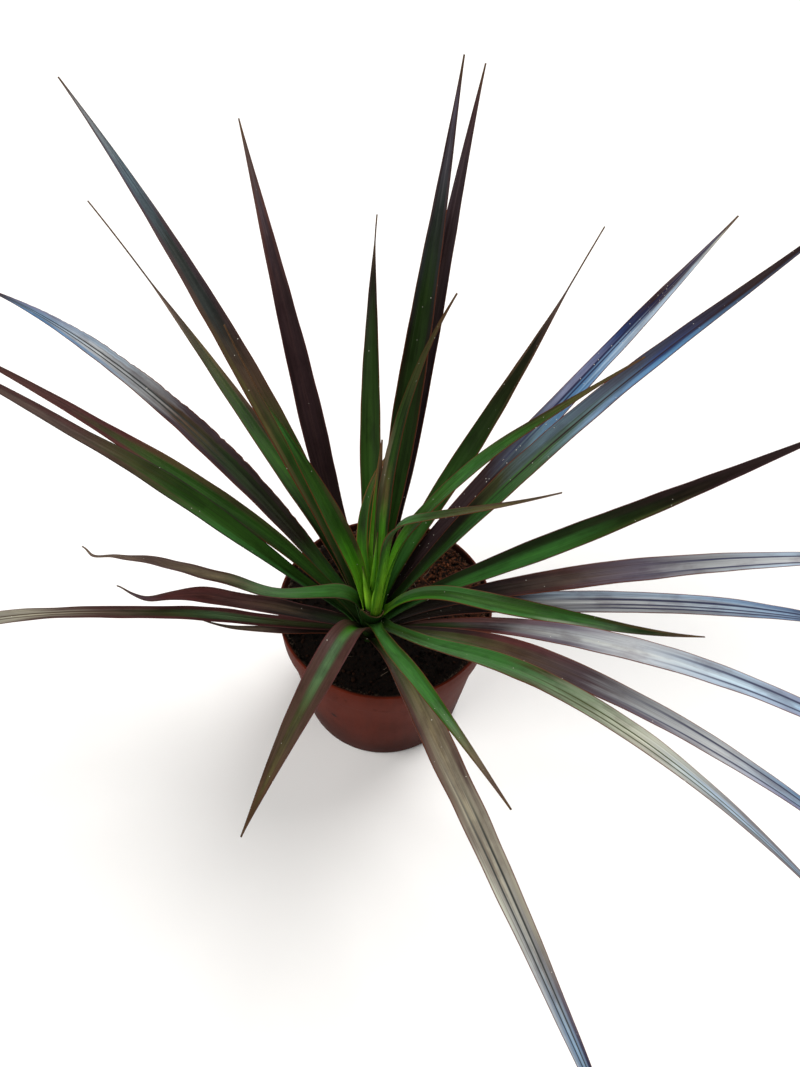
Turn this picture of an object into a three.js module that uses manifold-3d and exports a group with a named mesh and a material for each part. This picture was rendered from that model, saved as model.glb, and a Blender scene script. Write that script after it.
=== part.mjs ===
// A bicolor madagascar dragon tree in a round plastic nursery pot.
// Millimetres, +Z up. The origin is the middle of the pot's underside, and +X is to the right
// when the plant is seen from its front, which faces -Y.
import * as THREE from "three";
import { mergeVertices } from "three/addons/utils/BufferGeometryUtils.js";
import Module from "manifold-3d";

const wasm = await Module();
wasm.setup();

const GAP = 0.3; // between pieces that touch
const SEAT_GAP = 0.4; // between the stem, with its flat sides, and what stands round it

// The pot
const RIM_RADIUS = 60;
const BASE_RADIUS = 47.5;
const POT_HEIGHT = 92.5;
const WALL = 1.8;
const FLOOR = 2.6;
const BAND_HEIGHT = 18.5; // the plain band under the rim
const BAND_TAPER = 1.2; // how far the band draws in towards its lower edge
const BAND_STEP = 1.8; // how far the body stands back under the band
const LIP = 0.8; // the rounding of the rim
const FOOT_ROUND = 2; // the rounding of the foot
const DRAIN_HOLES = 8;
const DRAIN_RADIUS = 4;
const DRAIN_RING = 33;
const DRAIN_SIDES = 16;
const POT_SIDES = 64;

// The soil
const SOIL_TOP = 89.5;
const SOIL_SIDES = 48;
const SOIL_MOUND = 2.2; // the rise of the soil towards the stem
const MOUND_SPREAD = 20; // how far from the stem the mound has mostly run out
const SOIL_UNEVEN = 0.5; // the height of its low waves
const SOIL_BACK_RISE = 1.2; // how much higher it lies at the back right

// The stem leans towards the front, off the middle of the pot
const STEM_FOOT = new THREE.Vector3(-8, -18, SOIL_TOP);
const STEM_LEAN_X = 0.03;
const STEM_LEAN_Y = -0.2;
const STEM_DEPTH = 42; // below the soil
const STEM_HEIGHT = 36; // above the soil
const STEM_FOOT_RADIUS = 5.6;
const STEM_TOP_RADIUS = 3.4;
const SCAR_STEP = 4; // from one leaf scar to the next
const SCAR_DEPTH = 0.35;
const SCAR_WIDTH = 0.7;
const STEM_SIDES = 20;

// The blades
const RIB_THICKNESS = 0.95;
const EDGE_THICKNESS = 0.65;
const TIP_WIDTH = 1;
const BROADEST_AT = 0.38; // of the length
const TAPER_START = 1.6; // how long a blade stays broad past there
const TAPER_END = 1.3; // how finely it runs out
const ROOT_FOLD = 24; // degrees that each half is folded up, at the root
const BLADE_FOLD = 13; // the same from the middle on
const BEND_AT = 0.15; // where on the length the neck bends, on most leaves
const BEND_SPAN = 0.24; // the part of the length in which it bends
const DROOP_POWER = 1.4;
const FLICK_FROM = 0.7;
const STATIONS = 18;

// The leaves, from the lowest and oldest to the youngest. Angles are degrees, lengths are mm.
// Each row holds [at, azimuth, rise, droop, length, width, root, bends]:
// at: height of the root above the soil. azimuth: the way it points, 0 to the right, 90 to the back.
// rise: how steeply it leaves the stem. droop: the slow bend down to the tip.
// width: at its broadest. root: the width at the stem.
// Its bends, where it has any, are neck: a quick bend at bendAt of the length, which takes span of
// it. sweep: how far it turns to the left on its way. flick: the upward turn of the tip.
// wire: the part of the length that is a dry wiry tip.
const LEAVES = [
  [5, 185, 4, -10, 85, 5, 4, { sweep: -1, flick: 22 }],
  [6, 287, 46, 47, 310, 14, 6.5, { neck: 21, bendAt: 0.22, sweep: 8, flick: 8 }],
  [7, 180, 4, 42, 275, 12, 5.5, { neck: -19, bendAt: 0.14, sweep: 16 }],
  [8.5, 347, 30, 46, 330, 14, 5, { neck: 8, bendAt: 0.17, sweep: -19, flick: -2 }],
  [9.5, 175, 15, 24, 130, 11, 6.5, { neck: -9, bendAt: 0.22, sweep: 15, flick: 31 }],
  [11.5, 1, 27, 32, 295, 14, 6.5, { neck: 18, bendAt: 0.13, sweep: 1, flick: 3 }],
  [11.5, 137, 33, 37, 315, 15, 6, { neck: 5, bendAt: 0.16, sweep: 10 }],
  [13, 5, 34, 24, 315, 14.5, 6, { neck: 19, bendAt: 0.1, sweep: -2, flick: -2 }],
  [13.5, 166, 40, 36, 300, 14, 4, { neck: -7, bendAt: 0.19, sweep: -1 }],
  [14.5, 250, 62, 69, 155, 16, 9, { neck: 46, bendAt: 0.28, sweep: -11, flick: 9 }],
  [14.5, 325, 40, 51, 290, 13, 4.5, { neck: 9, bendAt: 0.31, sweep: -2 }],
  [14.5, 114, 36, 42, 280, 14, 6.5, { neck: -24, bendAt: 0.25, sweep: -8 }],
  [16, 156, 42, 22, 285, 13, 4.5, { neck: 16, bendAt: 0.21, sweep: -3 }],
  [17, 8, 45, 11, 265, 15, 6, { neck: 21, bendAt: 0.1, sweep: 13 }],
  [17.5, 75, 48, 22, 290, 13, 5.5, { neck: -8, bendAt: 0.26, sweep: 2, flick: -5 }],
  [19, 136, 63, 35, 285, 12, 5.5, { neck: 25, bendAt: 0.16, sweep: -10, wire: 0.24 }],
  [19.5, 34, 63, 19, 285, 13.5, 5, { neck: 26, bendAt: 0.12, sweep: 12 }],
  [22, 76, 56, 15, 280, 14.5, 4.5, { sweep: 4 }],
  [22.5, 314, 34, 51, 280, 11, 6, { neck: -17, bendAt: 0.17, sweep: -9 }],
  [23, 133, 61, 31, 310, 14, 6, { neck: 9, bendAt: 0.14, sweep: -3 }],
  [23.5, 16, 58, 31, 300, 15, 4.5, { sweep: 5, flick: 10 }],
  [25, 285, 40, 47, 165, 9, 5.5, { neck: -9, bendAt: 0.23, sweep: 16 }],
  [25.5, 178, 81, 36, 195, 9, 5, { neck: 80, bendAt: 0.1, span: 0.12, sweep: -32, flick: 12 }],
  [26.5, 350, 60, 17, 200, 12, 5, { neck: 71, bendAt: 0.17, sweep: 22, flick: 8 }],
  [26.5, 93, 57, 50, 255, 11.5, 5.5, { neck: 18, bendAt: 0.16, sweep: -4, wire: 0.12 }],
  [28, 48, 56, 41, 275, 12, 4, { neck: 20, bendAt: 0.14, sweep: 20, flick: -5, wire: 0.24 }],
  [30, 5, 84, 34, 215, 9, 4, { neck: 13, bendAt: 0.28, sweep: -11, flick: 10 }],
  [30.5, 87, 68, 33, 90, 7, 4, { sweep: -1 }],
  [32.5, 118, 72, 37, 90, 6, 4.5, { neck: 22, bendAt: 0.28, sweep: -66 }],
  [34.5, 61, 82, 45, 185, 8.5, 4, { neck: -15, bendAt: 0.19, sweep: -17, flick: -5 }],
  [35, 145, 79, 14, 170, 12.5, 6.5, { neck: 13, bendAt: 0.18, sweep: 4, flick: 14, wire: 0.24 }],
  [35, 323, 85, 1, 190, 8, 4, { neck: 39, bendAt: 0.42, sweep: -1, flick: 4 }],
];

// The rolled young leaves in the heart: [azimuth, rise, length]
const SPEARS = [
  [60, 86, 58],
  [200, 84, 38],
  [320, 83, 32],
];
const SPEAR_RADIUS = 1.9;
const SPEAR_SIDES = 7;
const SPEAR_STEPS = 5;
const SPEAR_TIP = 0.35; // the radius of its tip
const SPEAR_OUT = 0.9; // how far its foot stands off the middle of the bud
const BUD_RADIUS = 3.2;
const BUD_HEIGHT = 5;
const BUD_SIDES = 14;

const TERRACOTTA = 0x74392b;
const PEAT = 0x231a15;
const BARK = 0x6b4a38;
const YOUNG_GREEN = 0x6f9a2c;
const LEAF_GREEN = 0x3f5e34;
const OLD_MAROON = 0x4d3a3a;

const radians = THREE.MathUtils.degToRad;
const smooth = (x) => THREE.MathUtils.smoothstep(x, 0, 1);

// Boolean work: a three.js geometry as a solid, and a solid as a three.js geometry.
function solidOf(geometry) {
  const bare = geometry.clone();
  bare.deleteAttribute("normal");
  bare.deleteAttribute("uv");
  const merged = mergeVertices(bare, 1e-4);
  const vertProperties = merged.attributes.position.array;
  const triVerts = new Uint32Array(merged.index.array);
  return new wasm.Manifold(new wasm.Mesh({ numProp: 3, vertProperties, triVerts }));
}

function geometryOf(solid) {
  const mesh = solid.getMesh();
  const geometry = new THREE.BufferGeometry();
  geometry.setAttribute("position", new THREE.BufferAttribute(mesh.vertProperties, 3));
  geometry.setIndex(new THREE.BufferAttribute(mesh.triVerts, 1));
  geometry.computeVertexNormals();
  return geometry;
}

// A profile of [radius, z] pairs, from the axis round to the axis, turned about +Z.
function turned(profile, sides) {
  const points = profile.map(([radius, z]) => new THREE.Vector2(radius, z));
  return new THREE.LatheGeometry(points, sides).rotateX(Math.PI / 2);
}

// An upright cylinder, with its lower end at the given place.
function post(radius, height, sides, x, y, z) {
  const geometry = new THREE.CylinderGeometry(radius, radius, height, sides);
  return geometry.rotateX(Math.PI / 2).translate(x, y, z + height / 2);
}

function piece(name, geometry, color, roughness) {
  const mesh = new THREE.Mesh(geometry, new THREE.MeshStandardMaterial({ color, roughness, metalness: 0 }));
  mesh.name = name;
  return mesh;
}

// The outer radius of the pot's body under the band.
function bodyRadius(z) {
  const bandFoot = POT_HEIGHT - BAND_HEIGHT;
  const top = RIM_RADIUS - BAND_TAPER - BAND_STEP;
  return BASE_RADIUS + ((top - BASE_RADIUS) * z) / bandFoot;
}

// The inner radius of the pot, which follows the body and then the band.
function insideRadius(z) {
  const bandFoot = POT_HEIGHT - BAND_HEIGHT;
  if (z <= bandFoot) return bodyRadius(z) - WALL;
  const share = (z - bandFoot) / BAND_HEIGHT;
  return THREE.MathUtils.lerp(bodyRadius(bandFoot) - WALL, RIM_RADIUS - WALL, share);
}

function makePot() {
  const bandFoot = POT_HEIGHT - BAND_HEIGHT;
  const profile = [
    [0, 0],
    [BASE_RADIUS - FOOT_ROUND, 0],
    [bodyRadius(0) - FOOT_ROUND / 4, FOOT_ROUND / 3],
    [bodyRadius(FOOT_ROUND), FOOT_ROUND],
    [bodyRadius(bandFoot), bandFoot],
    [RIM_RADIUS - BAND_TAPER, bandFoot + LIP],
    [RIM_RADIUS, POT_HEIGHT - LIP],
    [RIM_RADIUS - LIP / 2, POT_HEIGHT],
    [insideRadius(POT_HEIGHT) + LIP / 2, POT_HEIGHT],
    [insideRadius(POT_HEIGHT - LIP), POT_HEIGHT - LIP],
    [insideRadius(bandFoot), bandFoot],
    [insideRadius(FLOOR), FLOOR],
    [0, FLOOR],
  ];
  let solid = solidOf(turned(profile, POT_SIDES));
  for (let i = 0; i < DRAIN_HOLES; i++) {
    const turn = (2 * Math.PI * i) / DRAIN_HOLES;
    const x = DRAIN_RING * Math.cos(turn);
    const y = DRAIN_RING * Math.sin(turn);
    solid = solid.subtract(solidOf(post(DRAIN_RADIUS, 3 * FLOOR, DRAIN_SIDES, x, y, -FLOOR)));
  }
  return piece("pot", geometryOf(solid), TERRACOTTA, 0.45);
}

// The middle of the stem at a height z.
function stemAxis(z) {
  const up = z - SOIL_TOP;
  return new THREE.Vector3(STEM_FOOT.x + STEM_LEAN_X * up, STEM_FOOT.y + STEM_LEAN_Y * up, z);
}

function stemRadius(z) {
  const share = THREE.MathUtils.clamp((z - SOIL_TOP) / STEM_HEIGHT, 0, 1);
  return THREE.MathUtils.lerp(STEM_FOOT_RADIUS, STEM_TOP_RADIUS, share);
}

// Leans an upright solid round the origin's +Z axis so that it follows the stem.
function leanWithStem(geometry) {
  const lean = new THREE.Matrix4().set(
    1, 0, STEM_LEAN_X, STEM_FOOT.x - STEM_LEAN_X * SOIL_TOP,
    0, 1, STEM_LEAN_Y, STEM_FOOT.y - STEM_LEAN_Y * SOIL_TOP,
    0, 0, 1, 0,
    0, 0, 0, 1,
  );
  return geometry.applyMatrix4(lean);
}

function makeStem() {
  const foot = SOIL_TOP - STEM_DEPTH;
  const top = SOIL_TOP + STEM_HEIGHT;
  const profile = [
    [0, foot],
    [STEM_FOOT_RADIUS - SCAR_WIDTH, foot],
    [STEM_FOOT_RADIUS, foot + SCAR_WIDTH],
  ];
  for (let z = SOIL_TOP; z < top - SCAR_WIDTH; z += SCAR_STEP) {
    profile.push([stemRadius(z), z]);
    profile.push([stemRadius(z) - SCAR_DEPTH, z + SCAR_WIDTH]);
  }
  profile.push([stemRadius(top) - SCAR_DEPTH, top], [0, top]);
  return piece("stem", leanWithStem(turned(profile, STEM_SIDES)), BARK, 0.85);
}

// The soil fills the pot, with a plain hole for the stem. Its top is a low uneven mound.
function makeSoil() {
  const low = FLOOR + GAP;
  const edge = insideRadius(SOIL_TOP) - 2 * GAP;
  const bandFoot = POT_HEIGHT - BAND_HEIGHT;
  const profile = [
    [0, low],
    [insideRadius(low) - GAP, low],
    [insideRadius(bandFoot) - GAP, bandFoot],
    [edge, SOIL_TOP - SOIL_UNEVEN],
    [edge * 0.86, SOIL_TOP],
    [edge * 0.6, SOIL_TOP],
    [edge * 0.3, SOIL_TOP],
    [0, SOIL_TOP],
  ];
  const geometry = turned(profile, SOIL_SIDES);
  const at = geometry.attributes.position;
  for (let i = 0; i < at.count; i++) {
    if (at.getZ(i) < SOIL_TOP - SOIL_MOUND) continue;
    const x = at.getX(i);
    const y = at.getY(i);
    const away = Math.hypot(x - STEM_FOOT.x, y - STEM_FOOT.y) / MOUND_SPREAD;
    const mound = SOIL_MOUND * (Math.exp(-away * away) - 0.5);
    const uneven = SOIL_UNEVEN * Math.sin(x / 5 + 1) * Math.cos(y / 6);
    const backRight = SOIL_BACK_RISE * smooth((x + y) / RIM_RADIUS - 0.2);
    at.setZ(i, at.getZ(i) + mound + uneven + backRight);
  }
  const foot = SOIL_TOP - STEM_DEPTH - GAP;
  const hole = leanWithStem(post(STEM_FOOT_RADIUS + SEAT_GAP, 2 * STEM_DEPTH, STEM_SIDES, 0, 0, foot));
  return piece("soil", geometryOf(solidOf(geometry).subtract(solidOf(hole))), PEAT, 0.95);
}

// The width of a blade at a share of its length: a narrow root, a broad middle, and a long taper
// that ends in a dry wiry tip on some leaves.
function widthAt(leaf, share) {
  const inBlade = share / (1 - leaf.wire);
  if (inBlade >= 1) return TIP_WIDTH;
  if (inBlade < BROADEST_AT) {
    return THREE.MathUtils.lerp(leaf.root, leaf.width, smooth(inBlade / BROADEST_AT));
  }
  const out = (inBlade - BROADEST_AT) / (1 - BROADEST_AT);
  return TIP_WIDTH + (leaf.width - TIP_WIDTH) * (1 - out ** TAPER_START) ** TAPER_END;
}

// The direction of a blade's middle line at a share of its length.
function directionAt(leaf, share) {
  const bent = smooth((share - leaf.bendAt) / leaf.span + 0.5) - smooth(0.5 - leaf.bendAt / leaf.span);
  const flicked = smooth((share - FLICK_FROM) / (1 - FLICK_FROM));
  const slope = leaf.rise - leaf.neck * bent - leaf.droop * share ** DROOP_POWER + leaf.flick * flicked;
  const up = radians(slope);
  const heading = radians(leaf.azimuth + leaf.sweep * share);
  return new THREE.Vector3(
    Math.cos(up) * Math.cos(heading),
    Math.cos(up) * Math.sin(heading),
    Math.sin(up),
  );
}

// The middle line of a blade: at each station a point, its side and its upper face.
function bladeLine(leaf) {
  const z = SOIL_TOP + leaf.at;
  const seat = stemRadius(z) + SEAT_GAP + RIB_THICKNESS / 2;
  const start = radians(leaf.azimuth);
  const point = stemAxis(z).add(new THREE.Vector3(seat * Math.cos(start), seat * Math.sin(start), 0));
  const line = [];
  for (let i = 0; i <= STATIONS; i++) {
    const share = i / STATIONS;
    if (i > 0) point.addScaledVector(directionAt(leaf, share - 0.5 / STATIONS), leaf.length / STATIONS);
    const along = directionAt(leaf, share);
    const heading = radians(leaf.azimuth + leaf.sweep * share);
    const side = new THREE.Vector3(-Math.sin(heading), Math.cos(heading), 0);
    line.push({ share, point: point.clone(), side, face: along.clone().cross(side) });
  }
  return line;
}

// A folded blade: six points at each station, the two edges and the rib on the upper and lower face.
// Both faces are split into triangles alike, so that the blade keeps its thickness where it turns.
function bladeGeometry(leaf) {
  const places = [];
  for (const { share, point, side, face } of bladeLine(leaf)) {
    const half = widthAt(leaf, share) / 2;
    const fold = radians(THREE.MathUtils.lerp(ROOT_FOLD, BLADE_FOLD, smooth(share * 2)));
    const across = half * Math.cos(fold);
    const lift = half * Math.sin(fold);
    for (const upper of [0.5, -0.5]) {
      for (const edge of [1, 0, -1]) {
        const thick = upper * (edge ? EDGE_THICKNESS : RIB_THICKNESS);
        const place = point.clone().addScaledVector(side, edge * across);
        place.addScaledVector(face, (edge ? lift : 0) + thick);
        places.push(place.x, place.y, place.z);
      }
    }
  }
  const index = [];
  const quad = (a, b, c, d) => index.push(a, b, c, a, c, d);
  const last = STATIONS * 6;
  for (let i = 0; i < last; i += 6) {
    const next = i + 6;
    quad(i, i + 1, next + 1, next);
    quad(i + 1, i + 2, next + 2, next + 1);
    index.push(i + 3, next + 4, i + 4, i + 3, next + 3, next + 4);
    index.push(i + 4, next + 5, i + 5, i + 4, next + 4, next + 5);
    quad(i, next, next + 3, i + 3);
    quad(i + 2, i + 5, next + 5, next + 2);
  }
  quad(0, 3, 4, 1);
  quad(1, 4, 5, 2);
  quad(last, last + 1, last + 4, last + 3);
  quad(last + 1, last + 2, last + 5, last + 4);
  const geometry = new THREE.BufferGeometry();
  geometry.setAttribute("position", new THREE.Float32BufferAttribute(places, 3));
  geometry.setIndex(index);
  geometry.computeVertexNormals();
  return geometry;
}

function makeLeaf([at, azimuth, rise, droop, length, width, root, bends], number) {
  const straight = { neck: 0, bendAt: BEND_AT, span: BEND_SPAN, sweep: 0, flick: 0, wire: 0 };
  const leaf = { at, azimuth, rise, droop, length, width, root, ...straight, ...bends };
  const age = number / (LEAVES.length - 1);
  const color = new THREE.Color(OLD_MAROON).lerp(new THREE.Color(LEAF_GREEN), age);
  const name = "leaf_" + String(number + 1).padStart(2, "0");
  return piece(name, bladeGeometry(leaf), color, 0.4);
}

// One rolled leaf: a slim tapering tube, round a curve that leans out a little.
function spearSolid([azimuth, rise, length]) {
  const turn = radians(azimuth);
  const out = new THREE.Vector3(Math.cos(turn), Math.sin(turn), 0);
  const rings = [];
  for (let i = 0; i <= SPEAR_STEPS; i++) {
    const share = i / SPEAR_STEPS;
    rings.push([Math.max(SPEAR_RADIUS * (1 - share ** 1.6), SPEAR_TIP), share * length]);
  }
  const geometry = turned([[0, 0], ...rings, [0, length]], SPEAR_SIDES);
  const axis = new THREE.Vector3(-out.y, out.x, 0);
  geometry.applyMatrix4(new THREE.Matrix4().makeRotationAxis(axis, radians(90 - rise)));
  return solidOf(geometry.translate(out.x * SPEAR_OUT, out.y * SPEAR_OUT, BUD_HEIGHT / 5));
}

// The heart: the rolled young leaves grow out of one bud on the top of the stem.
function makeHeart() {
  const profile = [
    [0, 0],
    [BUD_RADIUS * 0.9, 0],
    [BUD_RADIUS, BUD_HEIGHT / 4],
    [BUD_RADIUS * 0.8, BUD_HEIGHT * 0.6],
    [BUD_RADIUS / 4, BUD_HEIGHT],
    [0, BUD_HEIGHT],
  ];
  let solid = solidOf(turned(profile, BUD_SIDES));
  for (const spear of SPEARS) solid = solid.add(spearSolid(spear));
  const place = stemAxis(SOIL_TOP + STEM_HEIGHT + GAP);
  return piece("heart", geometryOf(solid).translate(place.x, place.y, place.z), YOUNG_GREEN, 0.4);
}

const plant = new THREE.Group();
plant.add(makePot(), makeSoil(), makeStem(), makeHeart(), ...LEAVES.map(makeLeaf));

export default plant;
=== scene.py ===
"""The dressed look of a potted bicolor Madagascar dragon tree.

Sizes are in millimetres and angles in degrees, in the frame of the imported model: the origin is the
middle of the pot's underside, +Z is up and the plant's front faces -Y. Meshes are made in metres.
"""

import logging
import math
import random
from collections.abc import Iterable, Sequence
from dataclasses import dataclass, field
from enum import Enum

import bmesh
import bpy
from mathutils import Matrix, Vector, noise


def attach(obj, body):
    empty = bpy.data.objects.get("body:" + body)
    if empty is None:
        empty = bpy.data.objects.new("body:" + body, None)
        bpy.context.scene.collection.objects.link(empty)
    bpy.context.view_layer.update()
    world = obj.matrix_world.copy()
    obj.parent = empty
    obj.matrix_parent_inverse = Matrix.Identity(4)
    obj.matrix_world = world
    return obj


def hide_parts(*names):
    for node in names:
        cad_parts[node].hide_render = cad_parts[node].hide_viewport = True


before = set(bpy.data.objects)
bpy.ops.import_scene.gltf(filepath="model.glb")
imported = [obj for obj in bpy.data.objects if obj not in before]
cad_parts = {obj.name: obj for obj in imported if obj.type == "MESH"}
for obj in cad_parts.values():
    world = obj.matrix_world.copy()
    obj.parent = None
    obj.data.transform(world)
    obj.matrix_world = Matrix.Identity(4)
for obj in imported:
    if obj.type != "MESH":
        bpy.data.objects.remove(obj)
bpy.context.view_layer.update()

log = logging.getLogger("dragon_tree")

MM = 0.001
BODY = "root"


def clamp(x: float, low: float = 0.0, high: float = 1.0) -> float:
    """Returns x held between low and high."""
    return max(low, min(high, x))


def lerp(a: float, b: float, share: float) -> float:
    """Returns the number at a share of the way from a to b."""
    return a + (b - a) * share


def smooth(x: float) -> float:
    """Returns an S-shaped rise from 0 to 1 while x goes from 0 to 1."""
    x = clamp(x)
    return x * x * (3 - 2 * x)


def turned_to(degrees: float) -> Vector:
    """Returns the level direction at an angle from +X towards +Y."""
    angle = math.radians(degrees)
    return Vector((math.cos(angle), math.sin(angle), 0))


class Slot(Enum):
    """The material slots of the record."""

    POT = "pot"
    SOIL = "soil"
    STEM = "stem"
    LEAF = "leaf"
    YOUNG_LEAF = "young_leaf"


class Tone(Enum):
    """The colours of the plant and its pot, as screen colours."""

    BUD = "7fb52c"
    LIME = "639e22"
    GRASS = "3b7416"
    LEAF = "33622a"
    GREEN = "2b4f18"
    DEEP = "264014"
    FOREST = "1d2e10"
    # Painted shade: night darkens the roots of most blades, where the crown shades them; some blades also carry it
    # further along as a dark tone.
    NIGHT = "1a170c"
    OLIVE = "3d4023"
    MOSS = "52492a"
    GREYGREEN = "4c6845"
    SAGE = "7b8a70"
    STONE = "979283"
    # Painted reflection: silver, pale, ice, dusk, sky, ink, steel, lilac and mist stand for the sky's sheen mirrored
    # on the outer halves of the older leaves, laid into their colour.
    SILVER = "86898d"
    PALE = "a9adb2"
    ICE = "9badbf"
    DUSK = "7690ad"
    SKY = "5583ae"
    INK = "2c3c66"
    STEEL = "576c78"
    SLATE = "444b5b"
    SHADOW = "2b302e"
    NAVY = "232543"
    LILAC = "7c82a0"
    MAUVE = "5d5663"
    PLUM = "42363b"
    MAROON = "4e3330"
    GARNET = "552d2c"
    RUST = "5c2c1a"
    WINE = "2e2022"
    BLACKRED = "251a17"
    KHAKI = "6b604c"
    TAUPE = "55453f"
    UMBER = "4b3a2c"
    BROWN = "57402c"
    TAN = "786859"
    ORANGE = "8e4d22"
    STRAW = "8f8266"
    TERRACOTTA = "5c1e0c"
    TERRACOTTA_DARK = "360e04"
    PEAT = "14100d"
    PEAT_RED = "5c3420"
    BARK = "7a5646"
    CHALK = "c9c4ba"
    MIST = "b6b8aa"

    def linear(self, gain: float = 1.0) -> tuple[float, float, float, float]:
        """Returns the colour as linear light, with an alpha of 1.

        Args:
            gain: what its three channels are multiplied by.
        """
        parts = [int(self.value[i : i + 2], 16) / 255 for i in (0, 2, 4)]
        light = [p / 12.92 if p <= 0.04045 else ((p + 0.055) / 1.055) ** 2.4 for p in parts]
        return (light[0] * gain, light[1] * gain, light[2] * gain, 1.0)


Stops = tuple[tuple[float, Tone], ...]


def tones(places: str) -> Stops:
    """Reads tones and where they lie along a leaf.

    Args:
        places: the names of tones from the root to the tip, each with its place in hundredths of
            the length, as in "deep 0, olive 20".

    Returns:
        The places, from 0 to 1, with their tones.
    """
    pairs = (pair.split() for pair in places.split(","))
    return tuple((int(place) / 100, Tone[name.upper()]) for name, place in pairs)


class Wire:
    """A value on a board, which sums and products carry on through Math nodes."""

    def __init__(self, board: "Board", socket: bpy.types.NodeSocket) -> None:
        """Holds the board and the socket that the value comes out of."""
        self.board, self.socket = board, socket

    def __add__(self, other: "Source") -> "Wire":
        """Returns the sum."""
        return self.board.math("ADD", self, other)

    def __sub__(self, other: "Source") -> "Wire":
        """Returns the difference."""
        return self.board.math("SUBTRACT", self, other)

    def __mul__(self, other: "Source") -> "Wire":
        """Returns the product."""
        return self.board.math("MULTIPLY", self, other)


Source = Wire | bpy.types.NodeSocket | float | tuple


class Board:
    """The node board of one material."""

    def __init__(self, name: str) -> None:
        """Makes an empty material.

        Args:
            name: the material's name.
        """
        self.material = bpy.data.materials.new(name)
        self.material.use_nodes = True
        self.tree = self.material.node_tree
        self.tree.nodes.clear()

    def add(self, kind: str, inputs: dict[str | int, Source] | None = None,
            **settings: object) -> bpy.types.Node:
        """Adds a node.

        Args:
            kind: the node's type, without the ShaderNode in front.
            inputs: for each input, by name or number, a wire or socket to join, or a value.
            settings: the node's own properties.

        Returns:
            The node.
        """
        node = self.tree.nodes.new("ShaderNode" + kind)
        for key, value in settings.items():
            setattr(node, key, value)
        for key, value in (inputs or {}).items():
            value = value.socket if isinstance(value, Wire) else value
            if isinstance(value, bpy.types.NodeSocket):
                self.tree.links.new(value, node.inputs[key])
            else:
                node.inputs[key].default_value = value
        return node

    def out(self, kind: str, end: str | int, inputs: dict[str | int, Source] | None = None,
            **settings: object) -> Wire:
        """Adds a node and returns the output that has the name or number end."""
        return Wire(self, self.add(kind, inputs, **settings).outputs[end])

    def math(self, operation: str, a: Source, b: Source = 0.0) -> Wire:
        """Returns a Math node's result."""
        return self.out("Math", 0, {0: a, 1: b}, operation=operation)

    def span(self, value: Source, start: Source, end: Source, low: float = 0.0, high: float = 1.0) -> Wire:
        """Returns a smooth step from low to high while a value goes from start to end."""
        inputs = {"Value": value, "From Min": start, "From Max": end, "To Min": low, "To Max": high}
        return self.out("MapRange", "Result", inputs, interpolation_type="SMOOTHSTEP")

    def mix(self, share: Source, a: Source, b: Source, blend: str = "MIX") -> Wire:
        """Returns one colour laid over another by a share."""
        return self.out("Mix", 2, {0: share, 6: a, 7: b}, data_type="RGBA", blend_type=blend)

    def vector(self, x: Source, y: Source, z: Source) -> Wire:
        """Returns a vector of three values."""
        return self.out("CombineXYZ", 0, {0: x, 1: y, 2: z})

    def noise(self, at: Source, scale: float, detail: float = 2.0, rough: float = 0.5) -> Wire:
        """Returns a noise from 0 to 1."""
        inputs = {"Vector": at, "Scale": scale, "Detail": detail, "Roughness": rough}
        return self.out("TexNoise", "Fac", inputs, noise_dimensions="3D")

    def ramp(self, value: Source, stops: Stops, gain: float = 1.0) -> Wire:
        """Returns the colour of a ramp.

        Args:
            value: where on the ramp, from 0 to 1.
            stops: places and tones, in order.
            gain: what the tones are multiplied by.
        """
        node = self.add("ValToRGB", {0: value})
        places = node.color_ramp.elements
        while len(places) < len(stops):
            places.new(0.5)
        for place, (share, tone) in zip(places, stops):
            place.position = share
            place.color = tone.linear(gain)
        return Wire(self, node.outputs[0])

    def place(self) -> Wire:
        """Returns the Object coordinates."""
        return self.out("TexCoord", "Object")

    def split(self, vector: Source) -> list[Wire]:
        """Returns the three parts of a vector."""
        return [Wire(self, part) for part in self.add("SeparateXYZ", {0: vector}).outputs]

    def bump(self, height: Source, depth: float, strength: float = 1.0) -> Wire:
        """Returns the normals of a relief.

        Args:
            height: the relief, from 0 to 1.
            depth: its depth in mm.
            strength: how strongly it shows.
        """
        inputs = {"Height": height, "Distance": depth * MM, "Strength": strength}
        return self.out("Bump", 0, inputs)

    def surface(self, **inputs: Source) -> bpy.types.Material:
        """Ends the board in a Principled surface.

        Args:
            inputs: its inputs by name, with _ for a space.

        Returns:
            The material.
        """
        named = {key.replace("_", " "): value for key, value in inputs.items()}
        shader = self.add("BsdfPrincipled", named)
        self.add("OutputMaterial", {"Surface": shader.outputs[0]})
        return self.material


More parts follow.
